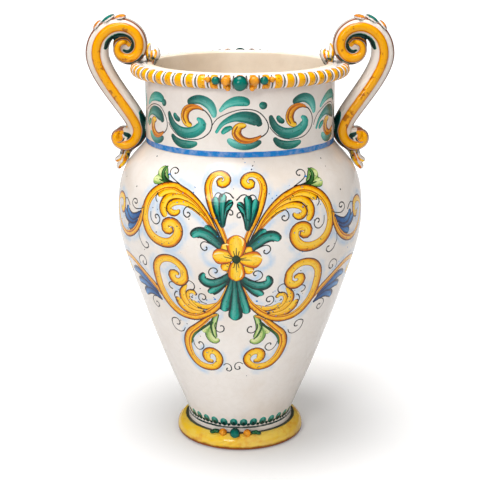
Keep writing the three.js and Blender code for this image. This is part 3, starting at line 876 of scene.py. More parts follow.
def foot_shader():
    """Yellow foot with pale patches, an orange blush, a brown bottom edge and a dark line round its top."""
    s = Shader("foot glaze")
    x, y, height = s.split(s.spot)
    radius = s.sum("SQRT", s.plus(s.times(x, x), s.times(y, y)))
    glaze = tin_glaze(s, FOOT_YELLOW)
    around = s.add("ShaderNodeCombineXYZ", {0: x, 1: y, 2: s.times(height, 4.0)})
    pale = s.ramp(s.noise(40, 3, 0.6, around.outputs[0]), 0.46, 0.62, 0.0, 0.5)
    glaze = s.blend(pale, glaze, PALE_YELLOW)
    blush = s.ramp(s.noise(55, 4, 0.65), 0.5, 0.72, 0.0, 0.5)
    colour = s.blend(blush, glaze, ORANGE)
    wander = s.wander(140, 0.0035, 3)
    level = s.plus(height, wander)
    colour = s.blend(s.ramp(level, 0.003, 0.0058, 0.95, 0.0), colour, BURNT)
    inner = s.plus(radius, s.times(wander, 0.3))
    colour = s.blend(s.ramp(inner, 0.0581, 0.0591, 0.95, 0.0), colour, DARK_TEAL)
    return s.glazed(colour)


def build_foot(glaze):
    """The moulded ring that the jar stands on."""
    middle = (FOOT_SHOULDER, FOOT_WIDEST)
    roll = arc(middle, FOOT_RADIUS - FOOT_SHOULDER, FOOT_HEIGHT - FOOT_WIDEST, -14, 90, 26)
    end = (FOOT_RADIUS - 1.6, 1.0)
    edge = cubic((FOOT_BORE + 2, 0), (FOOT_RADIUS - 6, 0), (FOOT_RADIUS - 3.2, 0), end, 6)
    bore = PLUG_RADIUS + CLEARANCE
    outline = np.vstack([[(FOOT_BORE, 0.8)], edge, roll[roll[:, 1] > 1.6],
                         [(bore, FOOT_HEIGHT), (bore, LEDGE_HEIGHT), (FOOT_BORE, LEDGE_HEIGHT)]])
    shell = Shell()
    shell.add(*lathe(outline, 200, (0.0, 1.0), closed=True), 0)
    return shell.finish("glazed_foot", "foot_ring", [glaze])


# Handles

STRAP_HALF = 11.6
STRAP_DEPTH = 12.5
SQUARENESS = 2.8
RIB_HALF = 4.3
RIB_MOST = 0.62
RIB_HEIGHT = 2
UPPER_CENTRE = np.array([RIM_RADIUS + 4.2, RIM_TOP + 14.7])
LOWER_CENTRE = np.array([NECK_RADIUS + 25.5, NECK_BASE + 5.6])
# Each spiral's radius at its eye, growth in a radian, and start and turn in degrees. The tapers are half
# widths from the eye outwards, as shares of the strap's
UPPER_SPIRAL = (4.5, 0.2154, 126, 500)
LOWER_SPIRAL = (3.1, 0.3825, 71.5, 266)
UPPER_TAPER = [0.28, 0.34, 0.38, 0.41, 0.48, 0.6, 0.72, 0.69, 0.62, 0.66, 0.76, 0.91, 1]
LOWER_TAPER = [0.26, 0.31, 0.4, 0.48, 0.55, 0.67, 0.86]
UPPER_STEPS, STRAP_STEPS, LOWER_STEPS = 150, 50, 60
UPPER_LEAD, LOWER_LEAD = 24, 14
# Pads that close the spirals: middle from the spiral's centre, radius, and half the depth of both
UPPER_WEB, LOWER_WEB = ((-3.0, 1.6), 15.2), ((-2.4, -1.0), 9)
WEB_DEPTH = 7


def spiral(centre, form, steps):
    """Points of a spiral from its eye outwards."""
    eye, growth, start, turn = form
    swept = np.linspace(0, turn, steps + 1)
    radius = eye * np.exp(growth * np.radians(swept))
    angle = np.radians(start - swept)
    return np.stack([centre[0] + radius * np.cos(angle), centre[1] + radius * np.sin(angle)], 1)


def taper(values, steps):
    """Half widths along a line, from shares of the strap's half width."""
    return np.interp(np.linspace(0, 1, steps), np.linspace(0, 1, len(values)), values) * STRAP_HALF


def handle_line():
    """Middle line of a handle from the upper eye to the lower eye, with the strap's half width."""
    upper = spiral(UPPER_CENTRE, UPPER_SPIRAL, UPPER_STEPS)
    lower = spiral(LOWER_CENTRE, LOWER_SPIRAL, LOWER_STEPS)[::-1]
    leave = (upper[-1] - upper[-2]) / np.linalg.norm(upper[-1] - upper[-2]) * UPPER_LEAD
    arrive = (lower[1] - lower[0]) / np.linalg.norm(lower[1] - lower[0]) * LOWER_LEAD
    strap = cubic(upper[-1], upper[-1] + leave, lower[0] - arrive, lower[0], STRAP_STEPS)[1:-1]
    half = np.concatenate([taper(UPPER_TAPER, len(upper)),
                           taper([UPPER_TAPER[-1], LOWER_TAPER[-1]], len(strap)),
                           taper(LOWER_TAPER, len(lower))[::-1]])
    return np.vstack([upper, strap, lower]), half


def strap_section(half, sides=56):
    """Across and depth of the strap's outline: a squared round with a rib on both faces."""
    turn = np.arange(sides) * 2 * math.pi / sides + math.pi / sides
    power = 2 / SQUARENESS
    across = half * np.sign(np.cos(turn)) * np.abs(np.cos(turn)) ** power
    depth = STRAP_DEPTH * np.sign(np.sin(turn)) * np.abs(np.sin(turn)) ** power
    rib = min(RIB_HALF, half * RIB_MOST)
    crown = np.clip(1 - (across / rib) ** 2, 0, 1) ** 0.5
    hollow = 0.5 * np.exp(-((np.abs(across) - rib * 1.3) / (rib * 0.35)) ** 2)
    return across, depth + np.sign(depth) * (RIB_HEIGHT * crown - hollow), rib


def ring_faces(rings, sides):
    """Faces between closed rings of points, with the rings' indices and those of each next point."""
    index = np.arange(rings * sides).reshape(rings, sides)
    after = np.roll(index, -1, 1)
    faces = np.stack([index[:-1], index[1:], after[1:], after[:-1]], 2).reshape(-1, 4).tolist()
    return faces, index, after


def swept(line, half, section, close=6):
    """A closed bar along a line in the XZ plane, with its ends drawn in to a round."""
    ahead = unit(np.gradient(line, axis=0))
    length = distances(line)
    vertices, marks = [], []
    for place, way, width, along in zip(line, ahead, half, length):
        near = min(along, length[-1] - along) / close
        shrink = max(math.sqrt(max(1 - (1 - min(near, 1)) ** 2, 0)), 0.05)
        across, depth, rib = section(width)
        vertices.append(np.stack([place[0] - across * shrink * way[1], depth * shrink,
                                  place[1] + across * shrink * way[0]], 1))
        marks.append(np.stack([across, np.full(len(across), along), np.full(len(across), rib),
                               np.full(len(across), width)], 1))
    faces, index, _ = ring_faces(len(line), len(vertices[0]))
    faces += [index[0].tolist(), index[-1][::-1].tolist()]
    return np.vstack(vertices), faces, np.vstack(marks)


def disc(centre, radius, depth, sides=48):
    """A round pad with softened edges, square to Y."""
    rows = [(0.0, -depth), (radius - 1.5, -depth), (radius - 0.4, -depth + 0.5), (radius, -depth + 1.6),
            (radius, depth - 1.6), (radius - 0.4, depth - 0.5), (radius - 1.5, depth), (0.0, depth)]
    turn = np.arange(sides) * 2 * math.pi / sides
    vertices = [np.stack([centre[0] + r * np.cos(turn), np.full(sides, y), centre[1] + r * np.sin(turn)], 1)
                for r, y in rows[1:-1]]
    index = np.arange(6 * sides).reshape(6, sides)
    after = np.roll(index, -1, 1)
    faces = np.stack([index[:-1], after[:-1], after[1:], index[1:]], 2).reshape(-1, 4).tolist()
    faces += [index[0][::-1].tolist(), index[-1].tolist()]
    return np.vstack(vertices), faces


def fused(name, solids, voxel, smooth):
    """One closed surface round several closed solids: a fine remesh, then smoothed a little."""
    vertices, faces, count = [], [], 0
    for points, rings in solids:
        vertices.append(points)
        faces += [[i + count for i in ring] for ring in rings]
        count += len(points)
    rough = added(name, mesh_of(name, np.vstack(vertices), faces))
    remesh = rough.modifiers.new("remesh", "REMESH")
    remesh.mode = "VOXEL"
    remesh.voxel_size = voxel * MM
    ease = rough.modifiers.new("ease", "SMOOTH")
    ease.factor = 0.5
    ease.iterations = smooth
    shaped = rough.evaluated_get(bpy.context.evaluated_depsgraph_get())
    mesh = bpy.data.meshes.new_from_object(shaped)
    bpy.data.objects.remove(rough)
    mesh.name = name
    return mesh


def points_of(mesh):
    """The mesh's vertices in millimetres."""
    flat = np.zeros(len(mesh.vertices) * 3)
    mesh.vertices.foreach_get("co", flat)
    return flat.reshape(-1, 3) / MM


def pair(name, node, mesh):
    """Puts a right-hand mesh in the scene, and its copy on the other side of the YZ plane."""
    copy = mesh.copy()
    copy.transform(Matrix.Scale(-1, 4, (1, 0, 0)))
    copy.flip_normals()
    for side, form in (("right", mesh), ("left", copy)):
        piece(name.format(side), node.format(side), form, 0)


# Teal brushwork in the hollows of a handle, darkest in their middles as painted shade of the hollows:
# strokes of (x, z, half width) from the centre of a spiral
UPPER_TEAL = (
    [(19.4, -0.7, 0.9), (17, 3.8, 1.6), (13.3, 7, 2.2), (8.7, 9.4, 2.3), (4.2, 10.3, 2.3), (-0.4, 9.9, 2),
     (-4.4, 7.9, 1.7), (-7, 4.3, 1.4), (-7.4, 0.2, 1.3), (-5.5, -3, 1.1), (-1.8, -4.3, 0.9), (1.3, -3, 0.6)],
    [(-1.6, -16.1, 1.4), (-5.3, -13.4, 1.6), (-10.8, -11.1, 1.7), (-17.2, -9.8, 1.8)],
    [(-19.9, -13.8, 1.4), (-25.3, -15.2, 1.6), (-28.4, -17.9, 1)])
LOWER_TEAL = (
    [(-22.8, 22.5, 2), (-23.1, 17.7, 1.8), (-23.3, 10.6, 1.3), (-23.5, 1.9, 1.5), (-22.2, -3.6, 1.7),
     (-19, -9.2, 1.6), (-15, -13.2, 1.6), (-9.4, -17.2, 1.5), (-3.8, -18, 1.3), (1.6, -16.4, 1.2)],
    [(5.2, -3.4, 0.5), (3.9, -5.6, 0.6), (0.9, -6.7, 0.7), (-1.9, -5.6, 0.7), (-3.2, -3.4, 0.6)],
    [(-3.6, 1.9, 0.9), (-6.6, 0.3, 1.4), (-9.4, -0.5, 1.2), (-7.7, -4.4, 0.9), (-6.9, -6.4, 0.8),
     (-1.7, -8, 1), (1, -6, 0.9), (2.9, -4.4, 0.6)])
# Middle and radius of the lower spiral's eye, which the rib runs into
LOWER_EYE = (0.9, -2.7, 3.2)


def handle_marks(mesh, line, half):
    """For each vertex of a handle its offset from the middle line, how far along that line it lies,
    the rib's half width there, its share of the way to the outer edge, and how much teal it has.

    Round the lower eye the offset is the distance from the eye's middle."""
    places = points_of(mesh)
    flat = places[:, [0, 2]]
    ahead = unit(np.gradient(line, axis=0))
    length = distances(line)
    nearest = np.zeros(len(flat), int)
    share = np.full(len(flat), 99.0)
    for start in range(0, len(line), 16):
        gap = np.linalg.norm(flat[:, None] - line[None, start:start + 16], axis=2) / half[start:start + 16]
        best = gap.argmin(1)
        closer = gap[np.arange(len(flat)), best] < share
        nearest[closer] = best[closer] + start
        share[closer] = gap[closer, best[closer]]
    away = flat - line[nearest]
    side = np.stack([-ahead[:, 1], ahead[:, 0]], 1)[nearest]
    offset = (away * side).sum(1)
    forward = (away * ahead[nearest]).sum(1)
    along = length[nearest] + forward
    rib = np.minimum(RIB_HALF, half[nearest] * RIB_MOST)
    teal = np.zeros(len(flat))
    for centre, strokes in ((UPPER_CENTRE, UPPER_TEAL), (LOWER_CENTRE, LOWER_TEAL)):
        for points in strokes:
            for x, z, radius in curved(np.array(points, float))[::6]:
                gap = np.hypot(flat[:, 0] - centre[0] - x, flat[:, 1] - centre[1] - z)
                teal = np.maximum(teal, 2.2 - gap / radius)
    joint = length[-LOWER_STEPS - 2]
    turned = np.interp(along, [joint - 10, joint], [1, -1])
    outer = turned * offset / half[nearest] + np.interp(along, [joint + 5, length[-40]], [0, 0.12])
    toward = flat - LOWER_CENTRE - LOWER_EYE[:2]
    eye = np.hypot(*toward.T)
    bulb = eye < LOWER_EYE[2] + 1
    offset[bulb] = np.where(toward[bulb].sum(1) > 0, 0, eye[bulb])
    rib[bulb] = LOWER_EYE[2]
    return offset, along, rib, outer, np.clip(teal, 0, 1)


def handle_shader():
    """Ivory strap, yellow rib with orange edges and painted highlights, painted shade in the groove beside
    the rib, a brown line on its outer edge, and teal in the hollows, darkest in their middles as painted
    shade.
    """
    s = Shader("handle glaze")
    glaze = tin_glaze(s, HANDLE_IVORY, 0.45)
    offset, along, rib = s.split(s.read("strap").outputs["Vector"])
    outer = s.read("outer").outputs["Fac"]
    teal = s.read("teal").outputs["Fac"]
    wander = s.wander(240, 0.9)
    aside = s.plus(s.size(offset), s.times(wander, 0.5))
    share = s.over(aside, rib)
    on_rib = s.ramp(share, 0.98, 1.1, 1.0, 0.0)
    lane = s.add("ShaderNodeCombineXYZ", {0: offset, 1: s.times(along, 0.06)})
    streak = s.noise(1.3, 3, 0.6, lane.outputs[0])
    orange = s.ramp(s.plus(share, s.times(s.minus(streak, 0.5), 1.2)), 0.55, 1.1)
    paint = s.blend(orange, RIB_GOLD, RIB_EDGE)
    spots = s.ramp(s.noise(110, 3, 0.7), 0.57, 0.66, 0.0, 0.75)
    paint = s.blend(spots, paint, BURNT)
    # Painted highlight: pale streaks along the rib
    glint = s.ramp(streak, 0.62, 0.76, 0.0, 0.5)
    paint = s.blend(glint, paint, PALE_YELLOW)
    colour = s.blend(on_rib, glaze, paint)
    # Painted shade in the groove just outside the rib, in the stain colour
    shadow = s.ramp(s.size(s.minus(share, 1.16)), 0.0, 0.2, 0.22, 0.0)
    colour = s.blend(shadow, colour, STAIN_AND_SHADE)
    feather = s.ramp(s.plus(teal, s.wander(210, 0.8, 3, 0.6)), 0.35, 0.62)
    keep = s.ramp(share, 1.0, 1.2)
    # Teal paint in the hollows, turning dark teal in their middles as painted shade
    green = s.blend(s.ramp(teal, 0.55, 0.95), TEAL, DARK_TEAL)
    colour = s.blend(s.times(feather, keep), colour, green)
    outer = s.plus(outer, s.times(wander, 0.04))
    corner = s.ramp(s.size(s.split(s.spot)[1]), 0.0042, 0.006)
    colour = s.blend(s.times(corner, s.ramp(outer, 0.79, 0.84, 0.0, 0.95)), colour, UMBER)
    return s.glazed(colour)


def build_handles(glaze):
    """A ribbed strap that ends in two spirals, with a pad in each, and its mirror image."""
    line, half = handle_line()
    bar = swept(line, half, strap_section)
    upper, lower = (disc(centre + middle, radius, WEB_DEPTH) for centre, (middle, radius)
                    in ((UPPER_CENTRE, UPPER_WEB), (LOWER_CENTRE, LOWER_WEB)))
    solids = [(bar[0], bar[1]), upper, lower]
    mesh = fused("right_scroll_handle", solids, voxel=0.62, smooth=3)
    offset, along, rib, outer, teal = handle_marks(mesh, line, half)
    attach(mesh, "strap", np.stack([offset, along, rib], 1), "POINT")
    attach(mesh, "outer", outer, "POINT")
    attach(mesh, "teal", teal, "POINT")
    mesh.materials.append(glaze)
    pair("{}_scroll_handle", "{}_handle", mesh)


# Leaves, buds and beads

def rounded(half_depth, sides=20):
    def section(half):
        turn = np.arange(sides) * 2 * math.pi / sides
        return half * np.cos(turn), min(half_depth, half * 1.6) * np.sin(turn), 0.0
    return section


def curl(points, half_depth):
    """A curl of clay through (x, z, half width) points."""
    dense = curved(points)[::2]
    return swept(dense[:, :2], dense[:, 2], rounded(half_depth), close=3)


def curl_marks(mesh, curls):
    """For each vertex the nearest curl: across it, along it, and how far it stands out in depth."""
    places = points_of(mesh)
    flat = places[:, [0, 2]]
    best = np.full(len(flat), 99.0)
    across, along = np.zeros(len(flat)), np.zeros(len(flat))
    for points, shown in curls:
        dense = curved(points)[::2]
        way = unit(np.gradient(dense[:, :2], axis=0))
        gap = np.linalg.norm(flat[:, None] - dense[None, :, :2], axis=2) / dense[None, :, 2]
        near = gap.argmin(1)
        share = gap[np.arange(len(flat)), near]
        away = flat - dense[near, :2]
        side = (away * np.stack([-way[:, 1], way[:, 0]], 1)[near]).sum(1) / dense[near, 2]
        closer = share < best
        best[closer] = share[closer]
        across[closer] = side[closer]
        along[closer] = near[closer] / len(dense) * shown
    return across, along, np.abs(places[:, 1])


def leaf_shader():
    """White clay curls with a yellow and orange band, a brown outline and dark teal at the root."""
    s = Shader("leaf glaze")
    glaze = tin_glaze(s, IVORY)
    across, along, _ = s.split(s.read("curl").outputs["Vector"])
    wander = s.wander(300, 0.5)
    side = s.plus(across, wander)
    band = s.ramp(s.size(s.plus(side, 0.3)), 0.34, 0.44, 1.0, 0.0)
    paint = s.blend(s.ramp(s.noise(260, 2), 0.4, 0.6), YELLOW, ORANGE)
    colour = s.blend(band, glaze, paint)
    shade = s.ramp(s.size(s.minus(side, 0.1)), 0.03, 0.1, 0.6, 0.0)
    colour = s.blend(shade, colour, BURNT)
    edge = s.ramp(s.size(across), 0.84, 0.95, 0.0, 0.95)
    colour = s.blend(edge, colour, BROWN)
    root = s.ramp(s.plus(along, s.times(wander, 0.5)), 0.3, 0.42, 1.0, 0.0)
    feather = s.ramp(s.noise(330, 3, 0.6), 0.38, 0.6, 1.0, 0.35)
    colour = s.blend(s.times(root, feather), colour, DARK_TEAL)
    return s.glazed(colour)


# Curls of the small leaves on the right side: points of (x, z, half width) in millimetres from a corner,
# the half depth, and 1 for a curl with little dark teal at its root, or less where the teal goes further up
LIP_CORNER = (NECK_RADIUS, RIM_TOP)
LIP_LEAF = (
    ([(-5.8, -4, 3.4), (-5, 2.2, 3.4), (-3.9, 7.7, 3.4), (-3.6, 12.2, 3), (-4.6, 15.6, 2.4),
      (-6, 18, 1.6)], 7, 1),
    ([(-8, -4, 3.6), (-8.8, -0.5, 3.5), (-10.6, 3.1, 3.7), (-12.2, 6.3, 3.5), (-12.6, 9.5, 3),
      (-11.4, 12, 2.4), (-9.6, 11.6, 1.9)], 7.5, 1),
    ([(-6.5, -4, 4), (-6.9, -0.5, 4.4), (-7.6, 4, 4.2), (-8.2, 8, 3), (-8.4, 11.2, 1.6)], 5.5, 0.6))
SHOULDER_CORNER = (NECK_RADIUS, NECK_BASE)
SHOULDER_LEAF = (
    ([(7, -1, 4), (12, -4, 4.6), (18, -9, 4.6), (22, -16, 4.4), (24, -22, 3.4)], 5.5, 0.6),
    ([(22.4, -7, 3), (23.6, -11.6, 3.1), (24.4, -15.2, 3.3), (26.4, -18.4, 3.1), (29.8, -20.6, 2.8),
      (32.2, -22.4, 2.6)], 6, 1),
    ([(16, -6, 3.6), (19.4, -12.6, 3.6), (21.6, -18.8, 3.7), (25, -23.8, 3.6), (28, -27.4, 3.3),
      (27.8, -30.6, 2.8)], 6.5, 1))
SCROLL_BUD = (
    ([(28, 7.8, 1.8), (26.2, 8.5, 2.3), (22.7, 9.1, 2.8), (19.5, 10.7, 3), (17.5, 13.9, 2.9),
      (18.2, 17.2, 2.3)], 7, 1),)


def build_leaf(name, corner, curls, glaze):
    """A leaf of fused curls on the right, and its mirror image on the left."""
    placed = [(np.array(points, float) + (*corner, 0), depth, shown) for points, depth, shown in curls]
    mesh = fused(name, [curl(points, depth)[:2] for points, depth, _ in placed], 0.45, 2)
    marks = curl_marks(mesh, [(points, shown) for points, _, shown in placed])
    attach(mesh, "curl", np.stack(marks, 1), "POINT")
    mesh.materials.append(glaze)
    pair("glazed_{}_" + name, "{}_" + name, mesh)


def bead_shader(name, colour, light, dark, white_below):
    """A glazed clay bead: a painted cap with a painted highlight towards its top, a dark line where it ends,
    white glaze below and a teal foot.
    """
    s = Shader(name)
    glaze = tin_glaze(s, IVORY)
    level = s.read("cap").outputs["Fac"]
    wander = s.wander(420, 0.6)
    level = s.plus(level, wander)
    paint = s.blend(s.ramp(s.noise(230, 3, 0.6), 0.35, 0.65), dark, colour)
    # Painted highlight: the cap turns to the light colour towards its top
    paint = s.blend(s.ramp(level, 0.25, 0.85, 0.0, 0.55), paint, light)
    cap = s.ramp(level, white_below, white_below + 0.12)
    line = s.ramp(s.size(s.minus(level, white_below)), 0.03, 0.16, 0.7, 0.0)
    result = s.blend(line, s.blend(cap, glaze, paint), dark)
    foot = s.ramp(level, -0.42, -0.18, 0.95, 0.0)
    result = s.blend(foot, result, DARK_TEAL)
    return s.glazed(result)


def build_bead(name, node, glaze, middle, axis, radii, sink=0.12):
    """A hand-rolled bead: an uneven, slightly flattened ball with a pressed foot.

    The radii are along the axis, level and square to the axis, and along the third way."""
    rings, sides = 18, 28
    phase = rng.uniform(0, 6, 4)
    vertices, levels = [], []
    axis = np.array(axis, float)
    level = np.array((0, 1, 0)) if abs(axis[1]) < 0.01 else np.cross((0, 0, 1), axis)
    level = level / np.linalg.norm(level)
    third = np.cross(axis, level)
    for i in range(1, rings):
        tilt = math.pi * i / rings
        up, out = math.cos(tilt), math.sin(tilt) ** 0.92
        turn = np.arange(sides) * 2 * math.pi / sides
        uneven = 1 + 0.022 * np.sin(2 * turn + phase[0]) + 0.014 * np.sin(3 * turn + phase[1] + tilt * 2)
        dents = 1 - 0.02 * (1 + np.sin(turn * 2 + phase[2] + 3 * tilt))
        ring = (np.outer(np.cos(turn) * uneven * out, level) * radii[1]
                + np.outer(np.sin(turn) * dents * out, third) * radii[2]
                + max(up, -1 + sink * 2) * axis * radii[0])
        vertices.append(ring)
        levels.append(np.full(sides, up))
    poles = np.array([axis, -axis * (1 - sink * 2)]) * radii[0]
    unit = np.vstack(vertices + [poles])
    levels = np.concatenate(levels + [[1, -1]])
    faces, index, after = ring_faces(rings - 1, sides)
    count = index.size
    faces += [[count, a, b] for a, b in zip(index[0], after[0])]
    faces += [[count + 1, b, a] for a, b in zip(index[-1], after[-1])]
    mesh = mesh_of(name, middle + unit, faces)
    attach(mesh, "cap", levels, "POINT")
    mesh.materials.append(glaze)
    return piece(name, node, mesh, 0)


def build_round_bead(node, glaze):
    """A round bead of a garland, in the box of its node, facing away from the axis."""
    low, high = box_of(node)
    middle, radius = (low + high) / 2, (high[2] - low[2]) / 2
    out = middle * (1, 1, 0)
    return build_bead("glazed_" + node, node, glaze, middle, out / np.linalg.norm(out), (radius,) * 3)


# Beads on the outside of each upper spiral: turn along the spiral, length and rise, from the outer end
HANDLE_BEADS = ((405, 12.0, 2.9), (428, 15.4, 3.1), (449, 12.0, 3.0))
HANDLE_BEAD_HALF_DEPTH = 11.5


def build_handle_bead(side, number, glaze):
    turn, length, rise = HANDLE_BEADS[number - 1]
    eye, growth, start, whole = UPPER_SPIRAL
    radius = eye * math.exp(growth * math.radians(turn)) + taper(UPPER_TAPER, 201)[round(turn / whole * 200)]
    swing = math.radians(start - turn)
    axis = np.array((side * math.cos(swing), 0, math.sin(swing)))
    middle = axis * radius + (side * UPPER_CENTRE[0], 0, UPPER_CENTRE[1])
    node = f"{'left' if side < 0 else 'right'}_handle_bead_{number}"
    radii = (rise, HANDLE_BEAD_HALF_DEPTH, length / 2)
    return build_bead("glazed_" + node, node, glaze, middle, axis, radii, 0)


# Leaflets of a sprig: how far out and up they sit and how large they are, as shares of half its box
SPRIG_LOBES = ((0.42, -0.25, 0.62), (-0.05, 0.35, 0.52), (-0.45, 0.05, 0.66))


def build_sprig(name, node, side, place, glaze):
    """Three round leaflets beside the foot's beads, each with a groove down its middle."""
    low, high = box_of(node)
    middle, reach = (low + high) / 2, (high - low) / 2
    turned = 1 if place == "front" else -1
    count, sides = 12, 24
    solids, middles = [], []
    for out, lift, size in SPRIG_LOBES:
        centre = middle + reach * (out * side * turned, 0, lift)
        turn = np.arange(sides) * 2 * math.pi / sides
        rings = []
        for tilt in np.linspace(0.12, math.pi - 0.12, count):
            groove = 1 - 0.14 * np.exp(-(np.sin(turn) / 0.3) ** 2) * math.sin(tilt)
            across = reach[0] * size * math.sin(tilt) * np.cos(turn) * groove
            depth = reach[1] * 1.02 * size * 1.4 * math.sin(tilt) * np.sin(turn) * groove
            rise = reach[2] * size * np.full(sides, math.cos(tilt))
            rings.append(centre + np.stack([across, depth, rise], 1))
        faces, index, _ = ring_faces(count, sides)
        faces += [index[0].tolist(), index[-1][::-1].tolist()]
        solids.append((np.vstack(rings), faces))
        middles.append(centre)
    mesh = fused(name, solids, 0.4, 2)
    places = points_of(mesh)
    gap = np.min([np.linalg.norm((places - c)[:, [0, 2]], axis=1) for c in middles], 0)
    attach(mesh, "cap", 1 - gap / 3.2, "POINT")
    mesh.materials.append(glaze)
    piece(name, node, mesh, 0)


# Painting of the belly: strokes of the left half, each (angle, height, half width); most are mirrored

GOLD_STROKES = [
    [(-5.8, 230, 1), (-8, 239, 1.2), (-10.2, 248, 1.8), (-13, 257.5, 2.2), (-16.8, 266, 2.4),
     (-21, 272, 2.6), (-26, 275.5, 2.6), (-30.5, 274.5, 2.8), (-33, 270, 2.6), (-32.5, 265.8, 2.6),
     (-30.3, 264, 2.4), (-28.2, 265.8, 1.8), (-27.8, 268.5, 1)],
    [(-15, 265, 1), (-20, 274.5, 1.5), (-25, 279.5, 2.2), (-30, 281, 2.8), (-34, 278.5, 3.2),
     (-36.2, 272.5, 3.4), (-36.4, 266, 3.2), (-35, 261, 2.4), (-34.5, 259, 1)],
    [(-22, 279.5, 1.2), (-27, 283.5, 2), (-32, 285, 2.6), (-36.5, 283, 3), (-39, 279.3, 2.8),
     (-39.5, 277, 1.6)],
    [(-5.6, 230, 1.2), (-8.2, 241, 1.4), (-11, 253, 1.8), (-14.2, 265, 2.2), (-18.3, 275, 2.6),
     (-23, 282.3, 3), (-28, 286.5, 3.2), (-32, 288.8, 3.2), (-37, 287.6, 3.4), (-41.2, 283.5, 3.7),
     (-44.5, 276.8, 3.9), (-46.5, 268.3, 4), (-47.3, 259.2, 4), (-46.6, 250, 4), (-44.5, 241.7, 4),
     (-40.8, 236, 3.9), (-36, 233.6, 3.9), (-31.6, 235.3, 4), (-28.6, 241.3, 4), (-27.7, 248, 3.9),
     (-28.9, 253.6, 3.6), (-31.7, 255.6, 3.4), (-34.3, 253.2, 3.5), (-34.7, 249, 3.5), (-33.2, 246.8, 3.2),
     (-31.6, 248.2, 2.6), (-31.9, 250, 1.6)],
    [(-4.2, 230, 1.8), (-6.4, 242.5, 2.2), (-8.7, 255, 2.6), (-11.2, 266.7, 3.2), (-13.4, 279, 3.4),
     (-14.9, 290, 3.2), (-14.5, 297, 3), (-12.9, 301, 2.8), (-10.2, 302.6, 2.5), (-7.4, 301.3, 2.5),
     (-5.9, 297.5, 2.7), (-6.7, 294, 2.7), (-8.7, 293, 2.7), (-10, 295, 2.3), (-9.3, 297.3, 1.8),
     (-8.3, 297, 1.2)],
    [(-48.7, 265.7, 1.5), (-49.8, 254.3, 2.6), (-52.3, 244.3, 3), (-55.9, 237, 3), (-60.1, 232.6, 3),
     (-64.4, 231, 3), (-68.7, 232.9, 3), (-72.6, 238.6, 3), (-75.5, 245.7, 3), (-77.3, 252.9, 2.8),
     (-77.3, 258.6, 2.8), (-75.1, 264.3, 2.8), (-71.6, 266.9, 2.8), (-67.6, 265, 2.8), (-66.6, 258.6, 2.8),
     (-67.6, 253.6, 2.6), (-69.8, 252.9, 2.2), (-70.5, 257, 1.4)],
    [(-42.5, 172, 1.5), (-45, 178, 2.6), (-48.7, 185.7, 3), (-52.3, 191.4, 3), (-56.6, 197.9, 3),
     (-61.6, 203.6, 3), (-67.3, 206.4, 3), (-72.3, 205.4, 3), (-77, 202, 3), (-80.5, 197, 3),
     (-80.5, 191.5, 2.8), (-77.5, 188, 2.6), (-73.5, 188.5, 2.6), (-71.5, 191.5, 2.6), (-72.5, 195, 2.4),
     (-75, 196, 2), (-76.3, 194, 1.4)],
    [(-12, 162, 1.5), (-16.3, 158.8, 2.2), (-20, 152.5, 2.8), (-25, 145, 3.2), (-29.4, 138.8, 3.5),
     (-32.5, 131.3, 3.8), (-34.1, 122.5, 3.9), (-34.1, 113.8, 3.9), (-32.5, 106.3, 3.8), (-28.8, 100, 3.7),
     (-24.4, 97.5, 3.6), (-19.4, 97.5, 3.4), (-15.6, 100.6, 3.2), (-13.4, 106.9, 3), (-14.1, 113.8, 3),
     (-16.9, 118.1, 3.2), (-20, 117.5, 3.2), (-22.2, 113.1, 3.2), (-21.9, 107.5, 3), (-19.7, 105.6, 2.4),
     (-18, 106.9, 1.4)],
    [(-5, 232, 1.8), (-5, 200, 2.2), (-5.6, 192.5, 2.4), (-7.5, 182.5, 2.8), (-10, 174.4, 3),
     (-13.8, 166.9, 3.2), (-16.9, 162.5, 3.2), (-21.3, 158.1, 3.3), (-25, 156.3, 3.4), (-28.8, 156.3, 3.4),
     (-33.1, 158.1, 3.6), (-36.9, 162.5, 3.8), (-40, 168.8, 4), (-42.2, 176.3, 4.1), (-43.4, 185, 4.2),
     (-43.6, 192.5, 4.2), (-43.3, 201.7, 4), (-42, 209.2, 3.6), (-38.7, 215.8, 3.3), (-34.1, 218.3, 3.2),
     (-29.9, 215.8, 3.3), (-27, 209.2, 3.3), (-26.8, 205, 3.3), (-27, 198.5, 3.4), (-29.5, 194, 3.4),
     (-32.5, 194.5, 3.4), (-34, 199, 3.2), (-32.8, 203.5, 2.8), (-30.8, 203, 2.2), (-30.3, 201, 1.4)]]
GOLD_LEAVES = [
    [(-10, 174, 2.5), (-13.5, 171, 2.8), (-18, 169, 2.6), (-22, 170.5, 2.2), (-25, 174.5, 1.5)],
    [(-22.5, 167, 1.6), (-25.6, 171.3, 2.4), (-27, 177.5, 2.2), (-26.6, 183, 2), (-24.5, 185.6, 2),
     (-22.7, 184, 1.8), (-22.8, 181, 1.2)],
    [(-19, 164.5, 1.5), (-24, 165.5, 2.6), (-28, 170, 3.4), (-29.8, 177, 3.4), (-29.5, 184, 2.8),
     (-27.5, 190, 1.6), (-26.3, 192.5, 0.6)],
    [(-18, 163, 1.5), (-23, 161.5, 2.4), (-28, 163, 3.2), (-31.5, 168, 3.6), (-33, 174, 3),
     (-32.8, 176.5, 1.5)]]
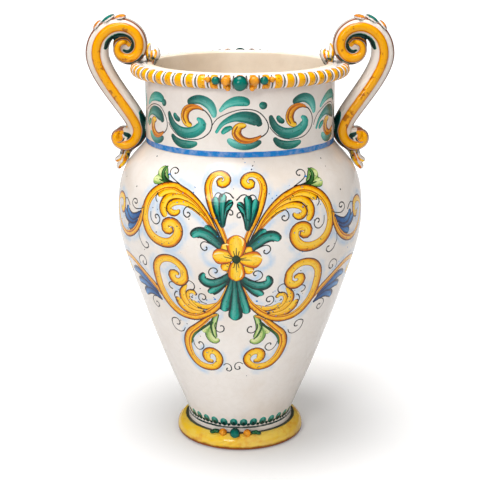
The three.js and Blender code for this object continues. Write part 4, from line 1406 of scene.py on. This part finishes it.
BLUE_LEAVES = [
    [(-53, 248, 1.5), (-57, 244, 3.2), (-60, 240.8, 3), (-62, 238.8, 1.2)],
    [(-52.5, 251, 1.5), (-57, 247.5, 3), (-61.5, 248.5, 3.4), (-64.5, 252, 2.8), (-65.9, 257, 1.2)],
    [(-50.5, 258, 1.2), (-53.5, 253.5, 2.2), (-57, 251, 2.8), (-60, 252.5, 3), (-61.9, 256.5, 2.6),
     (-61.5, 260.5, 1.4)],
    [(-47, 174.5, 1.5), (-51, 182, 3), (-56, 188.5, 3.8), (-61, 192.5, 3.6), (-65, 192, 2.4),
     (-67.2, 189.8, 1)],
    [(-46.5, 172, 1.5), (-51, 177, 3), (-56, 181, 3.4), (-61, 182, 3), (-65, 179.5, 1.6)],
    [(-45.5, 169.5, 1.2), (-50, 173.5, 2.4), (-54, 174.5, 3), (-58.5, 171.5, 3), (-60.5, 167, 1.6)]]
TEAL_LEAVES = [
    [(-7.3, 254, 1), (-8.6, 263, 2.2), (-10, 271.5, 2.6), (-10.9, 278.5, 2.5), (-11.3, 282.5, 1.5)],
    [(-7.2, 255, 0.8), (-7, 264, 1.6), (-6, 271.5, 2), (-4.5, 277, 2.1), (-3.6, 280, 1.2)],
    [(-7.3, 254.5, 1), (-7.9, 265, 2), (-8, 275, 2.5), (-7.7, 282.5, 2.5), (-7.4, 285.5, 1.4)],
    [(-7, 232, 1.8), (-9.2, 239.5, 3), (-11.6, 246.5, 3.4), (-13.8, 252, 3), (-15.2, 255.2, 1.6)],
    [(-7, 231, 1.8), (-9.2, 237.5, 2.8), (-11.8, 242.6, 3.6), (-14.7, 247, 3.8), (-17.8, 248.4, 3.6),
     (-20.1, 246, 3.1), (-20.8, 242.6, 1.8)],
    [(-3.6, 208, 1.4), (-6, 201.5, 2.3), (-9, 195, 2.8), (-12, 189.5, 3), (-14.2, 186.5, 2.6),
     (-14.6, 184.8, 1.4)],
    [(-3.6, 209, 1.4), (-6, 204, 2.4), (-9, 199.5, 3), (-12.5, 196.4, 3.6), (-15.8, 197.2, 3.6),
     (-17.6, 201, 3), (-17, 205.3, 1.8), (-16, 206.6, 0.8)]]
CENTRE_LEAVES = [
    [(-3.2, 207, 1.4), (-4.2, 195, 2.2), (-5.5, 185, 3), (-6.8, 176, 3.6), (-7.7, 168.5, 3.4),
     (-7.9, 165.5, 1.8)],
    [(-1.4, 207, 1.4), (-0.6, 194, 2.2), (0.6, 184, 3), (1.8, 174, 3.6), (2.9, 166, 3.4), (3, 163, 1.8)],
    [(-2.4, 208, 1.6), (-2.4, 196, 2), (-2.3, 185, 2.6), (-2.4, 172, 3.6), (-2.4, 162, 5),
     (-2.5, 155.5, 3.2)]]
PALE_LEAVES = [
    [(-36.5, 292.5, 1), (-39.5, 295.5, 3), (-42.5, 299.3, 4.3), (-45.3, 300.8, 2.8)],
    [(-36, 290.6, 1), (-40, 291, 2.2), (-43.5, 291.8, 3.6), (-46, 292.2, 2.4)],
    [(-11.8, 163, 1), (-13.8, 155, 2), (-15.3, 147, 2.6), (-16.8, 138.5, 4.4), (-16.3, 132.5, 3.6),
     (-14.2, 131, 2.4), (-12.7, 134, 1)],
    [(-14.8, 153.5, 1.2), (-18, 146.5, 2), (-20.5, 142, 2.6), (-21.7, 139.5, 1.4)]]
GREEN_LEAVES = [
    [(-34, 290.8, 1), (-37.5, 291.7, 1.8), (-40, 294.5, 2.2), (-41.7, 298.5, 2.2), (-41.8, 302, 1.8),
     (-40.5, 304, 1)], [(-35, 290.8, 0.8), (-39, 291.4, 1.1), (-42.3, 292.3, 0.5)],
    [(-15, 153, 1), (-21, 145, 1.5), (-26, 138.5, 1.8), (-29.5, 131, 1.4), (-30.8, 124, 0.6)],
    [(-15, 156.3, 0.8), (-16.3, 147.5, 1.1), (-15.6, 137.5, 1), (-14.1, 133.8, 0.5)]]
PETALS = [
    [(-5, 230, 3), (-6.4, 234.5, 5.4), (-7.6, 238, 5)], [(2.6, 229, 3), (3.8, 232.5, 4.4), (4.8, 235.5, 4)],
    [(-5, 218, 3), (-6.4, 215, 5.2), (-7.8, 211.4, 5)], [(2, 216, 3), (4, 212, 5.4), (5.4, 208.6, 5)],
    [(-2.5, 224, 3.2), (-5.4, 225.2, 6.8), (-8.4, 225.8, 8.2), (-10.6, 225.8, 8), (-12.2, 225.6, 6.8)],
    [(-1.6, 222, 3.2), (-1.6, 216, 7), (-1.6, 209, 8.4), (-1.6, 204.4, 8.2), (-1.6, 200, 6.8)],
    [(-0.5, 223, 3.2), (2.4, 222.8, 7), (5.6, 222.6, 9), (8, 222.4, 8.6), (9.8, 222.2, 7)],
    [(-1.6, 224, 3.5), (-1.6, 230, 7.6), (-1.6, 237, 9.6), (-1.6, 242.5, 9.2), (-1.6, 247.5, 7.4)]]
# Painted highlights on the petals: pale arcs laid over the paint
PETAL_GLINTS = [
    [(1, 236.5, 0.5), (1.3, 240.5, 1.1), (0.6, 244, 0.8), (-0.6, 245.6, 0.4)],
    [(5.2, 226, 0.5), (7.4, 226.4, 1.1), (9.2, 225, 0.8), (10, 222.6, 0.4)],
    [(-7, 229, 0.5), (-9.4, 229.2, 1), (-11.4, 227.6, 0.6)],
    [(0.6, 212.5, 0.5), (0.8, 208, 1), (0, 204, 0.6)],
    [(-7.6, 236.6, 0.5), (-6, 238.2, 0.8), (-4.8, 237.6, 0.4)],
    [(3.6, 211.4, 0.5), (5.4, 211.8, 0.8), (6.4, 210.2, 0.4)]]
PETAL_LINES = [
    [(-1.6, 235), (-1.6, 226)], [(-2.9, 231.5), (-2.2, 226)], [(-0.3, 231.5), (-1, 226)],
    [(-7, 225.6), (-3, 223.6)], [(-5.4, 227.6), (-2.8, 224.4)], [(4.4, 222.4), (0.4, 222.8)],
    [(2.8, 224.8), (0.2, 223.8)], [(-1.6, 211.5), (-1.6, 219.4)], [(-2.8, 214.2), (-2.2, 219.4)],
    [(-0.4, 214.2), (-1, 219.4)]]
CURLS = [
    [(-48.5, 264), (-51, 261.5), (-55, 260.5), (-57.8, 264), (-56.8, 268.8), (-54.3, 269.3), (-53.6, 266.5),
     (-55, 265), (-56, 266.5)], [(-66.6, 263), (-64.3, 266.8), (-62, 265), (-60, 261)],
    [(-51.5, 241), (-52, 234.5), (-50.3, 226.5), (-47.8, 223.3), (-45.7, 225.6), (-46, 229), (-47.4, 229.8)],
    [(-55.5, 203), (-55.8, 207.5), (-54, 212), (-51.5, 213.5), (-49.7, 210.5), (-50, 205.5), (-51.8, 203.5),
     (-53, 206), (-52, 207.5)],
    [(-43.4, 262), (-43, 255), (-40.8, 250.8), (-38.7, 251.7), (-37.7, 255.8), (-38.7, 259.7), (-40.2, 260),
     (-40.5, 257.5), (-39.6, 256.3)], [(-39.9, 271.7), (-41, 274.2), (-41.2, 277.5), (-40.3, 280.8)],
    [(-17.5, 265), (-20.7, 270), (-23.7, 271.7), (-25.3, 268.3), (-25.3, 264.2), (-23.7, 261.7),
     (-22.2, 264), (-22.9, 266.6), (-23.8, 265.8)],
    [(-12, 237), (-13.7, 238.7), (-15.8, 239.7), (-17.2, 237), (-17, 233.3), (-15.5, 230.8), (-14.3, 233),
     (-14.9, 235)],
    [(-7.8, 203.3), (-11.2, 202.5), (-13.7, 205), (-14.3, 209.2), (-13, 213), (-11.2, 213.3), (-10.2, 210.8),
     (-10.8, 208.3), (-11.6, 208.8)],
    [(-5.8, 264.5), (-5.9, 268.8), (-4.7, 271.2), (-3.4, 270), (-3.1, 267.3), (-4, 266), (-4.6, 267.5)],
    [(-6.8, 266), (-6.4, 272.5), (-4.7, 276.4), (-3, 278)],
    [(-11.6, 281.5), (-11, 284.8), (-9.7, 286), (-8.4, 284.6), (-8, 282.2)],
    [(-8, 283.8), (-6.7, 286.2), (-4.7, 285.4), (-3.4, 282.6), (-2.7, 281.3)],
    [(-29.4, 291), (-33, 293.9), (-35.9, 296.7), (-37.3, 299.2), (-37.6, 301.4), (-36.6, 303.5),
     (-34.8, 303.7), (-33, 302.1), (-32.8, 300.3), (-33.7, 299), (-34.6, 299.7)],
    [(-40.1, 299.2), (-39.4, 296), (-36.6, 293.1), (-33, 291.4)],
    [(-49.5, 170), (-52.5, 168.8), (-54.4, 163.8), (-53.4, 158.8), (-51.3, 157.3), (-49.4, 160), (-50, 163),
     (-51.3, 163.5), (-51.6, 161.9)],
    [(-33.1, 141.3), (-35, 136.9), (-38.1, 135.3), (-41.3, 138.1), (-42.3, 143.1), (-41.3, 148.8),
     (-38.4, 150.6), (-36.4, 148.8), (-36.3, 145), (-37.8, 143.1), (-39, 143.8)],
    [(-29.4, 128.8), (-29.1, 122.5), (-27.5, 118.1), (-25, 118.1), (-22.8, 121.9), (-23.1, 125.6),
     (-24.4, 127.3), (-25.8, 126.3), (-25.6, 124.4)],
    [(-13.4, 152.5), (-14.1, 147.5), (-13.1, 142.5), (-11.3, 141.3), (-9.3, 143.1), (-8.9, 146.9),
     (-10, 149.4), (-10.9, 148.1)],
    [(-33.1, 171.3), (-34.7, 173.8), (-35, 178.1), (-33.8, 181.9), (-32.5, 182.5)],
    [(-34.4, 192.5), (-35.9, 191.9), (-37.2, 188.8), (-36.3, 185.3), (-35, 184.8)],
    [(-25.9, 195.6), (-24.4, 196.9), (-22.5, 193.8), (-22.5, 189.4), (-23.8, 186.9), (-25, 186.9)],
    [(-16.9, 173.1), (-19.4, 174.4), (-20.9, 178.1), (-20.3, 183.1), (-18.4, 183.8), (-17.2, 181.3),
     (-17.5, 178.1), (-18.8, 177.5), (-19.1, 178.8)],
    [(-11.3, 101.3), (-8.8, 103.8), (-6.3, 101.3), (-5.9, 96.3), (-7.8, 94.4), (-9.4, 96.3), (-8.4, 98.5)]]
SPOTS = [(-53.5, 309.5, 0.8, CHARCOAL), (-56.5, 281, 0.9, CHARCOAL), (-37.2, 297.8, 1.2, BLUE),
         (-12.5, 179, 1.1, BLUE), (-24.7, 178.8, 1, CHARCOAL), (-50.5, 259, 1.6, DARK_BLUE),
         (-45.8, 169, 1.8, DARK_BLUE), (-19, 164, 1.6, BROWN)]

# The painting's own axis leans to the left, more so at the bottom. Its right half hangs a little lower, but
# stands higher at the bottom, and is a little wider
AXIS_HEIGHTS, AXIS_ANGLES = (110, 150), (-4.7, -2.2)
SAG_HEIGHTS, SAG = (100, 130, 200, 255, 300), (2.3, 0, -2.5, -3, -1)
RIGHT_STRETCH = 1.03


def mirror(points):
    """The same stroke on the right half of the painting."""
    points = np.array(points, float)
    axis = np.interp(points[:, 1], AXIS_HEIGHTS, AXIS_ANGLES)
    points[:, 0] = axis + (axis - points[:, 0]) * RIGHT_STRETCH
    points[:, 1] += np.interp(points[:, 1], SAG_HEIGHTS, SAG)
    return points


def bend(points):
    """1 for a stroke that curls to the left as it goes, -1 for one that curls to the right."""
    flat = np.array(points, float)[:, :2] * FLAT
    step = np.diff(flat, axis=0)
    return 1 if cross(step[:-1], step[1:]).sum() > 0 else -1


def fuller(points, start, end):
    """The same stroke with its half widths scaled, from a share at its start to one at its end."""
    points = np.array(points, float)
    along = np.linspace(0, 1, len(points))
    points[:, 2] *= start + (end - start) * along ** 2
    return points


def beside(wall, points, share, half):
    """A thin stroke that runs along another, at a share of its half width to one side."""
    flat = (wall.per_degree(points[0, 1]), 1)
    way = unit(np.gradient(points[:, :2], axis=0) * flat)
    aside = np.stack([-way[:, 1], way[:, 0]], 1) * points[:, 2:] * share / flat
    widths = half * np.sin(np.linspace(0.5, 2.8, len(points)))
    return np.column_stack([points[:, :2] + aside, widths])


SCROLL_POINTS = 12
CONTOUR = 0.8


def gold(paint, points):
    """A gold scroll or leaf, and for a long scroll a burnt shade along its first half."""
    full = fuller(points, 1.15, 1.5)
    paint.stroke(full, (GOLD, YELLOW), (RUST, RUST), 1.0, 0.6 * bend(points))
    if len(points) > SCROLL_POINTS:
        root = full[:len(points) // 2]
        paint.stroke(beside(paint.wall, root, 0.45 * bend(points), 0.8), (BURNT, RUST), (RUST, RUST))


def contour(paint, group, grow):
    """A thin dark line round a group of strokes."""
    for points in group:
        wide = fuller(points, grow, grow)
        wide[:, 2] += CONTOUR
        paint.plain(wide, CHARCOAL, 1.5)


def leaves(paint, group, root, tip, edge_root, edge_tip, grow=1.25):
    """Leaves that shade from root to tip, each group inside one dark contour."""
    contour(paint, group, grow)
    for points in group:
        full = fuller(points, grow, grow)
        paint.stroke(full, (root, tip), (edge_root, edge_tip), 0.0, 0.4 * bend(points), 1.5)


BASE_LEAVES = 17
BASE_LEAF_ANGLE, BASE_LEAF_HEIGHT = 3.85, 22.6


def base_leaves(paint):
    """The row of small dome leaves round the bottom of the belly."""
    pitch = 180 / BASE_LEAVES
    start = BASE_LEAF_ANGLE - pitch * math.floor((BASE_LEAF_ANGLE + 90) / pitch)
    for i in range(BASE_LEAVES):
        angle = start + pitch * i
        height = BASE_LEAF_HEIGHT + rng.uniform(-0.3, 0.3)
        for side in (-0.42, 0.42):
            middle = angle + side * pitch
            paint.plain([(middle, height, 0.9), (middle + side, height + 1.6, 1.3),
                         (middle + side, height + 3.4, 0.7)], DARK_TEAL, 1.2)
        lean = rng.uniform(-0.5, 0.5)
        paint.stroke([(angle, height, 2.6), (angle, height + 3.6, 4.0), (angle + lean, height + 7, 3.6),
                      (angle + lean, height + 9.6, 1.8)],
                     (DARK_TEAL, MID_TEAL), (DARK_TEAL, TEAL_WASH), spacing=1.8)
        paint.plain([(angle, height + 0.6, 0.8), (angle + lean * 0.5, height + 2.6, 1.5),
                     (angle + lean, height + 5, 0.6)], DARK_TEAL, 1.2)


SPECKS = 230


def specks(paint):
    """Small flecks that flew off the brush beside the gold strokes, and every fourth one on a stroke."""
    sources = [points for points, fill, *_ in paint.strokes if fill[1] == YELLOW]
    for i in range(SPECKS):
        dense = curved(sources[rng.integers(len(sources))])
        angle, height, half = dense[rng.integers(len(dense))]
        away, turn = half + rng.uniform(2, 11), rng.uniform(0, 2 * math.pi)
        if i % 4 == 0:
            away = half * rng.uniform(0, 0.8)
        angle += away * math.cos(turn) / PER_DEGREE
        height += away * math.sin(turn)
        reach, swing = rng.uniform(0.15, 0.8), rng.uniform(-1, 1)
        colour = (BLUE, DARK_BLUE, CHARCOAL)[rng.integers(3)]
        radius = rng.uniform(0.35, 0.75)
        paint.plain([(angle - reach / 2, height - reach * swing, radius), (angle, height, radius),
                     (angle + reach / 2, height + reach * swing, radius)], colour, 0.8)


def paint_belly(wall):
    """Scrolls and leaves on both halves, then the middle leaves, the flower and the row at the bottom."""
    paint = Paint(wall)
    sides = ((lambda points: np.array(points, float)), mirror)
    for turned in sides:
        for group in (PALE_LEAVES[:2], PALE_LEAVES[2:]):
            leaves(paint, [turned(points) for points in group], LEAF_GREEN, PALE_GREEN, GREEN, LEAF_GREEN)
        for points in GREEN_LEAVES:
            paint.stroke(fuller(turned(points), 1.0, 1.0), (DARK_GREEN, GREEN), (DARK_GREEN, DARK_GREEN))
        for group in (BLUE_LEAVES[:3], BLUE_LEAVES[3:]):
            leaves(paint, [turned(points) for points in group], NAVY, BLUE, DARK_BLUE, DARK_BLUE)
        for points in GOLD_LEAVES + GOLD_STROKES:
            gold(paint, turned(points))
        for group in (TEAL_LEAVES[:3], TEAL_LEAVES[3:5], TEAL_LEAVES[5:]):
            group = [turned(points) for points in group]
            leaves(paint, group, BEAD_TEAL, MID_TEAL, DARK_TEAL, DARK_TEAL, 1.3)
        for points in CURLS:
            paint.line(turned([(angle, height, 1) for angle, height in points])[:, :2])
        for angle, height, radius, colour in SPOTS:
            place = turned([(angle, height, radius)])[0]
            paint.dot(place[0], place[1], radius, colour)
    leaves(paint, CENTRE_LEAVES, BEAD_TEAL, MID_TEAL, DARK_TEAL, DARK_TEAL, 1.25)
    specks(paint)
    for points in PETALS:
        paint.stroke(points, (YELLOW, YELLOW), (PETAL_EDGE, PETAL_EDGE), 1.0)
    # Painted highlights on the petals
    for points in PETAL_GLINTS:
        paint.stroke(points, (PALE_YELLOW, IVORY), (PALE_YELLOW, PALE_YELLOW))
    for points in PETAL_LINES:
        paint.line(points, 0.45, BROWN)
    paint.dot(-1.6, 223, 4.4, DARK_GREEN)
    base_leaves(paint)
    return paint


# Painting of the neck: a running border of six pairs of motifs; angles from a pair's own centre
NECK_TEAL = [
    [(-12, 356.5, 0.8), (-7.3, 363, 1.8), (-1.5, 366.5, 2.6), (4.3, 366.5, 2.6), (8.2, 364, 1.6)],
    [(-15.7, 336, 0.8), (-12.3, 345, 1.2), (-7.3, 350.5, 2), (-2.3, 352, 3), (2.9, 350, 3.4),
     (5.6, 345.6, 2.4), (5.9, 342.4, 1.4)],
    [(-9.8, 330.7, 1.2), (-6.5, 326.5, 2.2), (-1.5, 324.8, 2.6), (3.5, 325.5, 2), (7.2, 328.5, 1)],
    [(-12.7, 335.7, 1), (-10.3, 339.8, 1.6), (-7.3, 342.3, 1)],
    [(11.4, 355, 1), (12.7, 348.5, 1.8), (15.2, 342.3, 2.2), (20.2, 337.3, 2.8), (26, 336.5, 3),
     (31, 339, 3), (34.7, 344.8, 2.8), (33.5, 349.8, 1.6), (31.4, 350.7, 0.7)],
    [(13.5, 333.2, 1), (16.4, 328.2, 2), (21, 325.3, 2.4), (26.8, 325.3, 2.2), (31.8, 327.3, 1)],
    [(6, 363.6, 1.5), (8, 362.4, 2.1), (9.8, 360.2, 2)],
    [(15.6, 354, 1.2), (17.4, 349.6, 1.6), (20.2, 347.6, 1.2)],
    [(25.6, 365, 1.4), (29.3, 368.2, 2.2), (34.3, 369, 2.6), (39.3, 365, 2.8), (41.8, 357.5, 2),
     (41.8, 352.5, 1)]]
NECK_ORANGE = [
    [(-0.3, 344, 1.2), (-4, 342.5, 2.6), (-5.3, 336.5, 3), (-3.2, 331, 2.6), (1, 329.2, 1.8),
     (5.2, 331.5, 1.2), (7.2, 334, 0.6)],
    [(28.5, 344, 1.2), (25.2, 345.7, 2.4), (23.5, 351.5, 3), (24.8, 358, 2.8), (28.5, 361.5, 2),
     (32.7, 361.5, 1.2), (36, 359, 0.5)]]
NECK_LINES = [
    [(-18.1, 340.5), (-16.8, 345.5), (-14.2, 350.7), (-9, 355.7), (-3.2, 358.7), (2.7, 358.5), (6.8, 354.8),
     (9.8, 348), (10.8, 342.3), (10.2, 337.3), (8.5, 334), (6.8, 332.3)],
    [(11, 344), (12.7, 340), (16, 335), (21, 331.5), (27.7, 330.3), (34.3, 332.3), (39, 338), (40.8, 344.8),
     (40.2, 351.5), (37.7, 357.3), (35.2, 360)]]


# The wash of each teal stroke, from where the brush was set down to where it left
NECK_WASHES = ((LIGHT_TEAL, TEAL), (TEAL_WASH, BEAD_TEAL), (LIGHT_TEAL, BEAD_TEAL), (MID_TEAL, TEAL),
               (BEAD_TEAL, TEAL_WASH), (BEAD_TEAL, TEAL), (TEAL, BEAD_TEAL), (TEAL, BEAD_TEAL),
               (BEAD_TEAL, LIGHT_TEAL))


# Each pair's turn round the neck, how much wider and higher than drawn its first motif is, how far its
# second motif is shifted, and how wide its crest is and how far that is shifted
NECK_PAIRS = ((-58, 1, 0, 1.1, 1, 0), (4, 1.14, 2, 2, 0.85, -5.5), (66, 1, 0.5, 0.5, 1, 0),
              (124, 1.05, -0.5, 0, 0.95, -1.5), (183.5, 0.98, 0.6, 0.5, 1, 0),
              (241.5, 1.04, 0, 0, 0.9, -2.5))
# How dark the wash is where it pools at a stroke's edge
NECK_POOL = 0.7


def paint_neck(wall):
    """The running border: in each pair a first motif, and to its right a second that replies to it."""
    paint = Paint(wall)
    for turn, wide, lift, shift, crest_wide, crest_shift in NECK_PAIRS:
        def placed(points):
            crest = points is NECK_TEAL[0]
            points = np.array(points, float)
            reply = points[:, 0].mean() > 10
            wider = 1 if reply else crest_wide if crest else wide
            points[:, 0] = points[:, 0] * wider + turn + (shift if reply else crest_shift if crest else 0)
            points[:, 1] += 0 if reply else lift
            points[:, 0] = points[:, 0] - 360 * (points[:, 0].mean() > 180)
            return points

        for points, wash in zip(NECK_TEAL, NECK_WASHES):
            points = placed(points)
            pools = [np.array(colour) * NECK_POOL for colour in wash]
            paint.stroke(fuller(points, 1.75, 1.75), wash, pools, 0.0, 0.5 * bend(points), 2.0)
        for points in NECK_ORANGE:
            points = placed(points)
            shade = beside(wall, points[1:-1], -0.6 * bend(points), 1.1)
            full = fuller(points, 1.55, 1.55)
            paint.stroke(full, (YELLOW, ORANGE), (BURNT, ORANGE), 0.7, -0.5 * bend(points), 2.0)
            paint.stroke(shade, (BURNT, ORANGE), (BURNT, ORANGE))
        for points in NECK_LINES:
            paint.line(placed(points), 0.5)
    return paint


# The jar

BELLY_RINGS = ((BAND_TOP - 1.3, BAND_TOP + 0.6, DARK_TEAL),)
NECK_RINGS = ((NECK_BASE + 0.2, NECK_BASE + 5.6, BLUE),)
TEAL_RIM_BEADS = (1, 4, 5)
# Glow of the floor near the jar, kept low for a painted shade round the foot, and far from it
FLOOR_GLOW, FAR_GLOW = 0.18, 0.95
WORLD_LEVEL, GLOSSY_LEVEL = 0.5, 0.12
RIM_BEADS, FOOT_BEADS = 11, 3
# Name, place, aim, size in metres, power in watts and colour
LIGHTS = (("key", (-0.62, -1.55, 1.05), (0, 0, 0.22), 0.7, 12, (1, 0.99, 0.98)),
          ("top", (-0.15, -0.15, 1.7), (0, 0, 0.3), 1.0, 23, (1, 0.99, 0.98)),
          ("fill", (0.9, -1.5, 0.8), (0, 0, 0.25), 1.0, 1.2, (1, 0.975, 0.94)))

lining = plain_glaze("inner glaze", CREAM)
belly_wall = Wall(belly_outline(), 0.5)
neck_wall = Wall(np.array([(NECK_RADIUS, NECK_BASE), (NECK_RADIUS, RIM_TOP - LEDGE_DROP)]), 0.3)
build_belly(paint_belly(belly_wall), painted_glaze("belly glaze", IVORY, BELLY_RINGS), lining)
build_neck(paint_neck(neck_wall), painted_glaze("neck glaze", IVORY, NECK_RINGS), lining)
build_rim(rim_shader())
build_foot(foot_shader())
build_handles(handle_shader())

leaf_glaze = leaf_shader()
build_leaf("lip_leaf", LIP_CORNER, LIP_LEAF, leaf_glaze)
build_leaf("shoulder_leaf", SHOULDER_CORNER, SHOULDER_LEAF, leaf_glaze)
build_leaf("scroll_bud", SHOULDER_CORNER, SCROLL_BUD, leaf_glaze)

# The second colour of each bead glaze is its painted highlight
orange_bead = bead_shader("orange bead glaze", BEAD_ORANGE, AMBER, BURNT, -0.8)
teal_bead = bead_shader("teal bead glaze", BEAD_TEAL, TEAL, DARK_TEAL, -0.8)
orange_cap = bead_shader("orange cap glaze", BEAD_ORANGE, AMBER, BURNT, 0.2)
teal_cap = bead_shader("teal cap glaze", BEAD_TEAL, MID_TEAL, DARK_TEAL, 0.2)
sprig_glaze = bead_shader("sprig glaze", BEAD_TEAL, GREEN, DARK_TEAL, -0.8)
for place in ("front", "back"):
    for number in range(1, RIM_BEADS + 1):
        glaze = teal_bead if number in TEAL_RIM_BEADS else orange_bead
        build_round_bead(f"{place}_rim_bead_{number}", glaze)
    for number in range(1, FOOT_BEADS + 1):
        build_round_bead(f"{place}_foot_bead_{number}", teal_bead if number == 1 else orange_bead)
    for side, name in ((-1, "left"), (1, "right")):
        node = f"{place}_foot_leaf_{name}"
        build_sprig("glazed_" + node, node, side, place, sprig_glaze)
for side in (-1, 1):
    for number in range(1, len(HANDLE_BEADS) + 1):
        build_handle_bead(side, number, teal_cap if number == 2 else orange_cap)


# Floor, light and camera

def paper(name, colour, glow):
    """Matt paper that glows white to the camera far from the jar and less near it, a painted shade round the
    foot, with the shadow that falls on it.
    """
    s = Shader(name)
    grain = s.blend(s.ramp(s.noise(3, 4), 0.3, 0.7, 0.0, 0.03), colour, srgb(0.9, 0.89, 0.88))
    matt = s.add("ShaderNodeBsdfDiffuse", {"Color": grain})
    rays = s.add("ShaderNodeLightPath").outputs
    mirrored_rays = s.times(s.sum("MAXIMUM", rays["Is Glossy Ray"], rays["Is Transmission Ray"]), 0.4)
    seen = s.sum("MAXIMUM", rays["Is Camera Ray"], mirrored_rays)
    distance = s.add("ShaderNodeVectorMath", {0: s.spot}, operation="LENGTH").outputs["Value"]
    # Less glow near the jar: a painted shade round the foot
    strength = s.times(seen, s.ramp(distance, 0.05, 0.6, *glow))
    light = s.add("ShaderNodeEmission", {"Color": srgb(1, 1, 1), "Strength": strength})
    both = s.add("ShaderNodeAddShader", {0: matt.outputs[0], 1: light.outputs[0]})
    output = s.add("ShaderNodeOutputMaterial")
    s.tree.links.new(both.outputs[0], output.inputs[0])
    return s.material


# The floor's grid, in metres, is finer round the jar
FLOOR_LINES = (-12, -3, -1, 0, 1, 3, 12)
floor_mesh = bpy.data.meshes.new("floor")
floor_points = [(x, y, 0.0) for y in FLOOR_LINES for x in FLOOR_LINES]
row = len(FLOOR_LINES)
floor_faces = [(i + row * j, i + 1 + row * j, i + 1 + row * (j + 1), i + row * (j + 1))
               for j in range(row - 1) for i in range(row - 1)]
floor_mesh.from_pydata(floor_points, [], floor_faces)
floor_mesh.materials.append(paper("paper", srgb(0.86, 0.865, 0.872), (FLOOR_GLOW, FAR_GLOW)))
floor = added("floor", floor_mesh)


def area_light(name, place, aim, size, power, colour):
    """A round light that faces what it aims at."""
    data = bpy.data.lights.new(name, "AREA")
    data.shape = "DISK"
    data.size = size
    data.energy = power
    data.color = colour
    lamp = added(name, data)
    lamp.location = place
    lamp.rotation_euler = (Vector(aim) - Vector(place)).to_track_quat("-Z", "Y").to_euler()


for settings in LIGHTS:
    area_light(*settings)

# The room is white, darker and warmer to the sides and dimmer in reflections; the camera sees plain white
world = bpy.data.worlds.new("studio")
room = Shader("studio", world)
towards = room.split(room.add("ShaderNodeTexCoord").outputs["Generated"])
aside = room.ramp(room.size(towards[0]), 0.35, 0.95)
room_colour = room.blend(aside, srgb(1, 0.99, 0.975), srgb(0.58, 0.46, 0.32))
rays = room.add("ShaderNodeLightPath").outputs
seen = room.sum("MAXIMUM", rays["Is Camera Ray"], rays["Is Transmission Ray"])
level = room.minus(WORLD_LEVEL, room.times(rays["Is Glossy Ray"], WORLD_LEVEL - GLOSSY_LEVEL))
soft = room.add("ShaderNodeBackground", {"Color": room_colour, "Strength": level})
white = room.add("ShaderNodeBackground", {"Color": srgb(1, 1, 1), "Strength": 1.0})
mix = room.add("ShaderNodeMixShader", {0: seen, 1: soft.outputs[0], 2: white.outputs[0]})
output = room.add("ShaderNodeOutputWorld")
room.tree.links.new(mix.outputs[0], output.inputs[0])
bpy.context.scene.world = world

# The camera stands where the photograph was taken, looking a little down
CAMERA_PLACE = (0, -1.236, 0.545)
CAMERA_TILT = 15.23
IMAGE_WIDTH = 480
FOCAL_PIXELS = 1228
SENSOR = 36
camera_data = bpy.data.cameras.new("camera")
camera_data.sensor_width = SENSOR
camera_data.lens = FOCAL_PIXELS * SENSOR / IMAGE_WIDTH
camera = added("camera", camera_data)
camera.location = CAMERA_PLACE
camera.rotation_euler = (math.radians(90 - CAMERA_TILT), 0, 0)
bpy.context.scene.camera = camera
bpy.context.scene.view_settings.view_transform = "Standard"
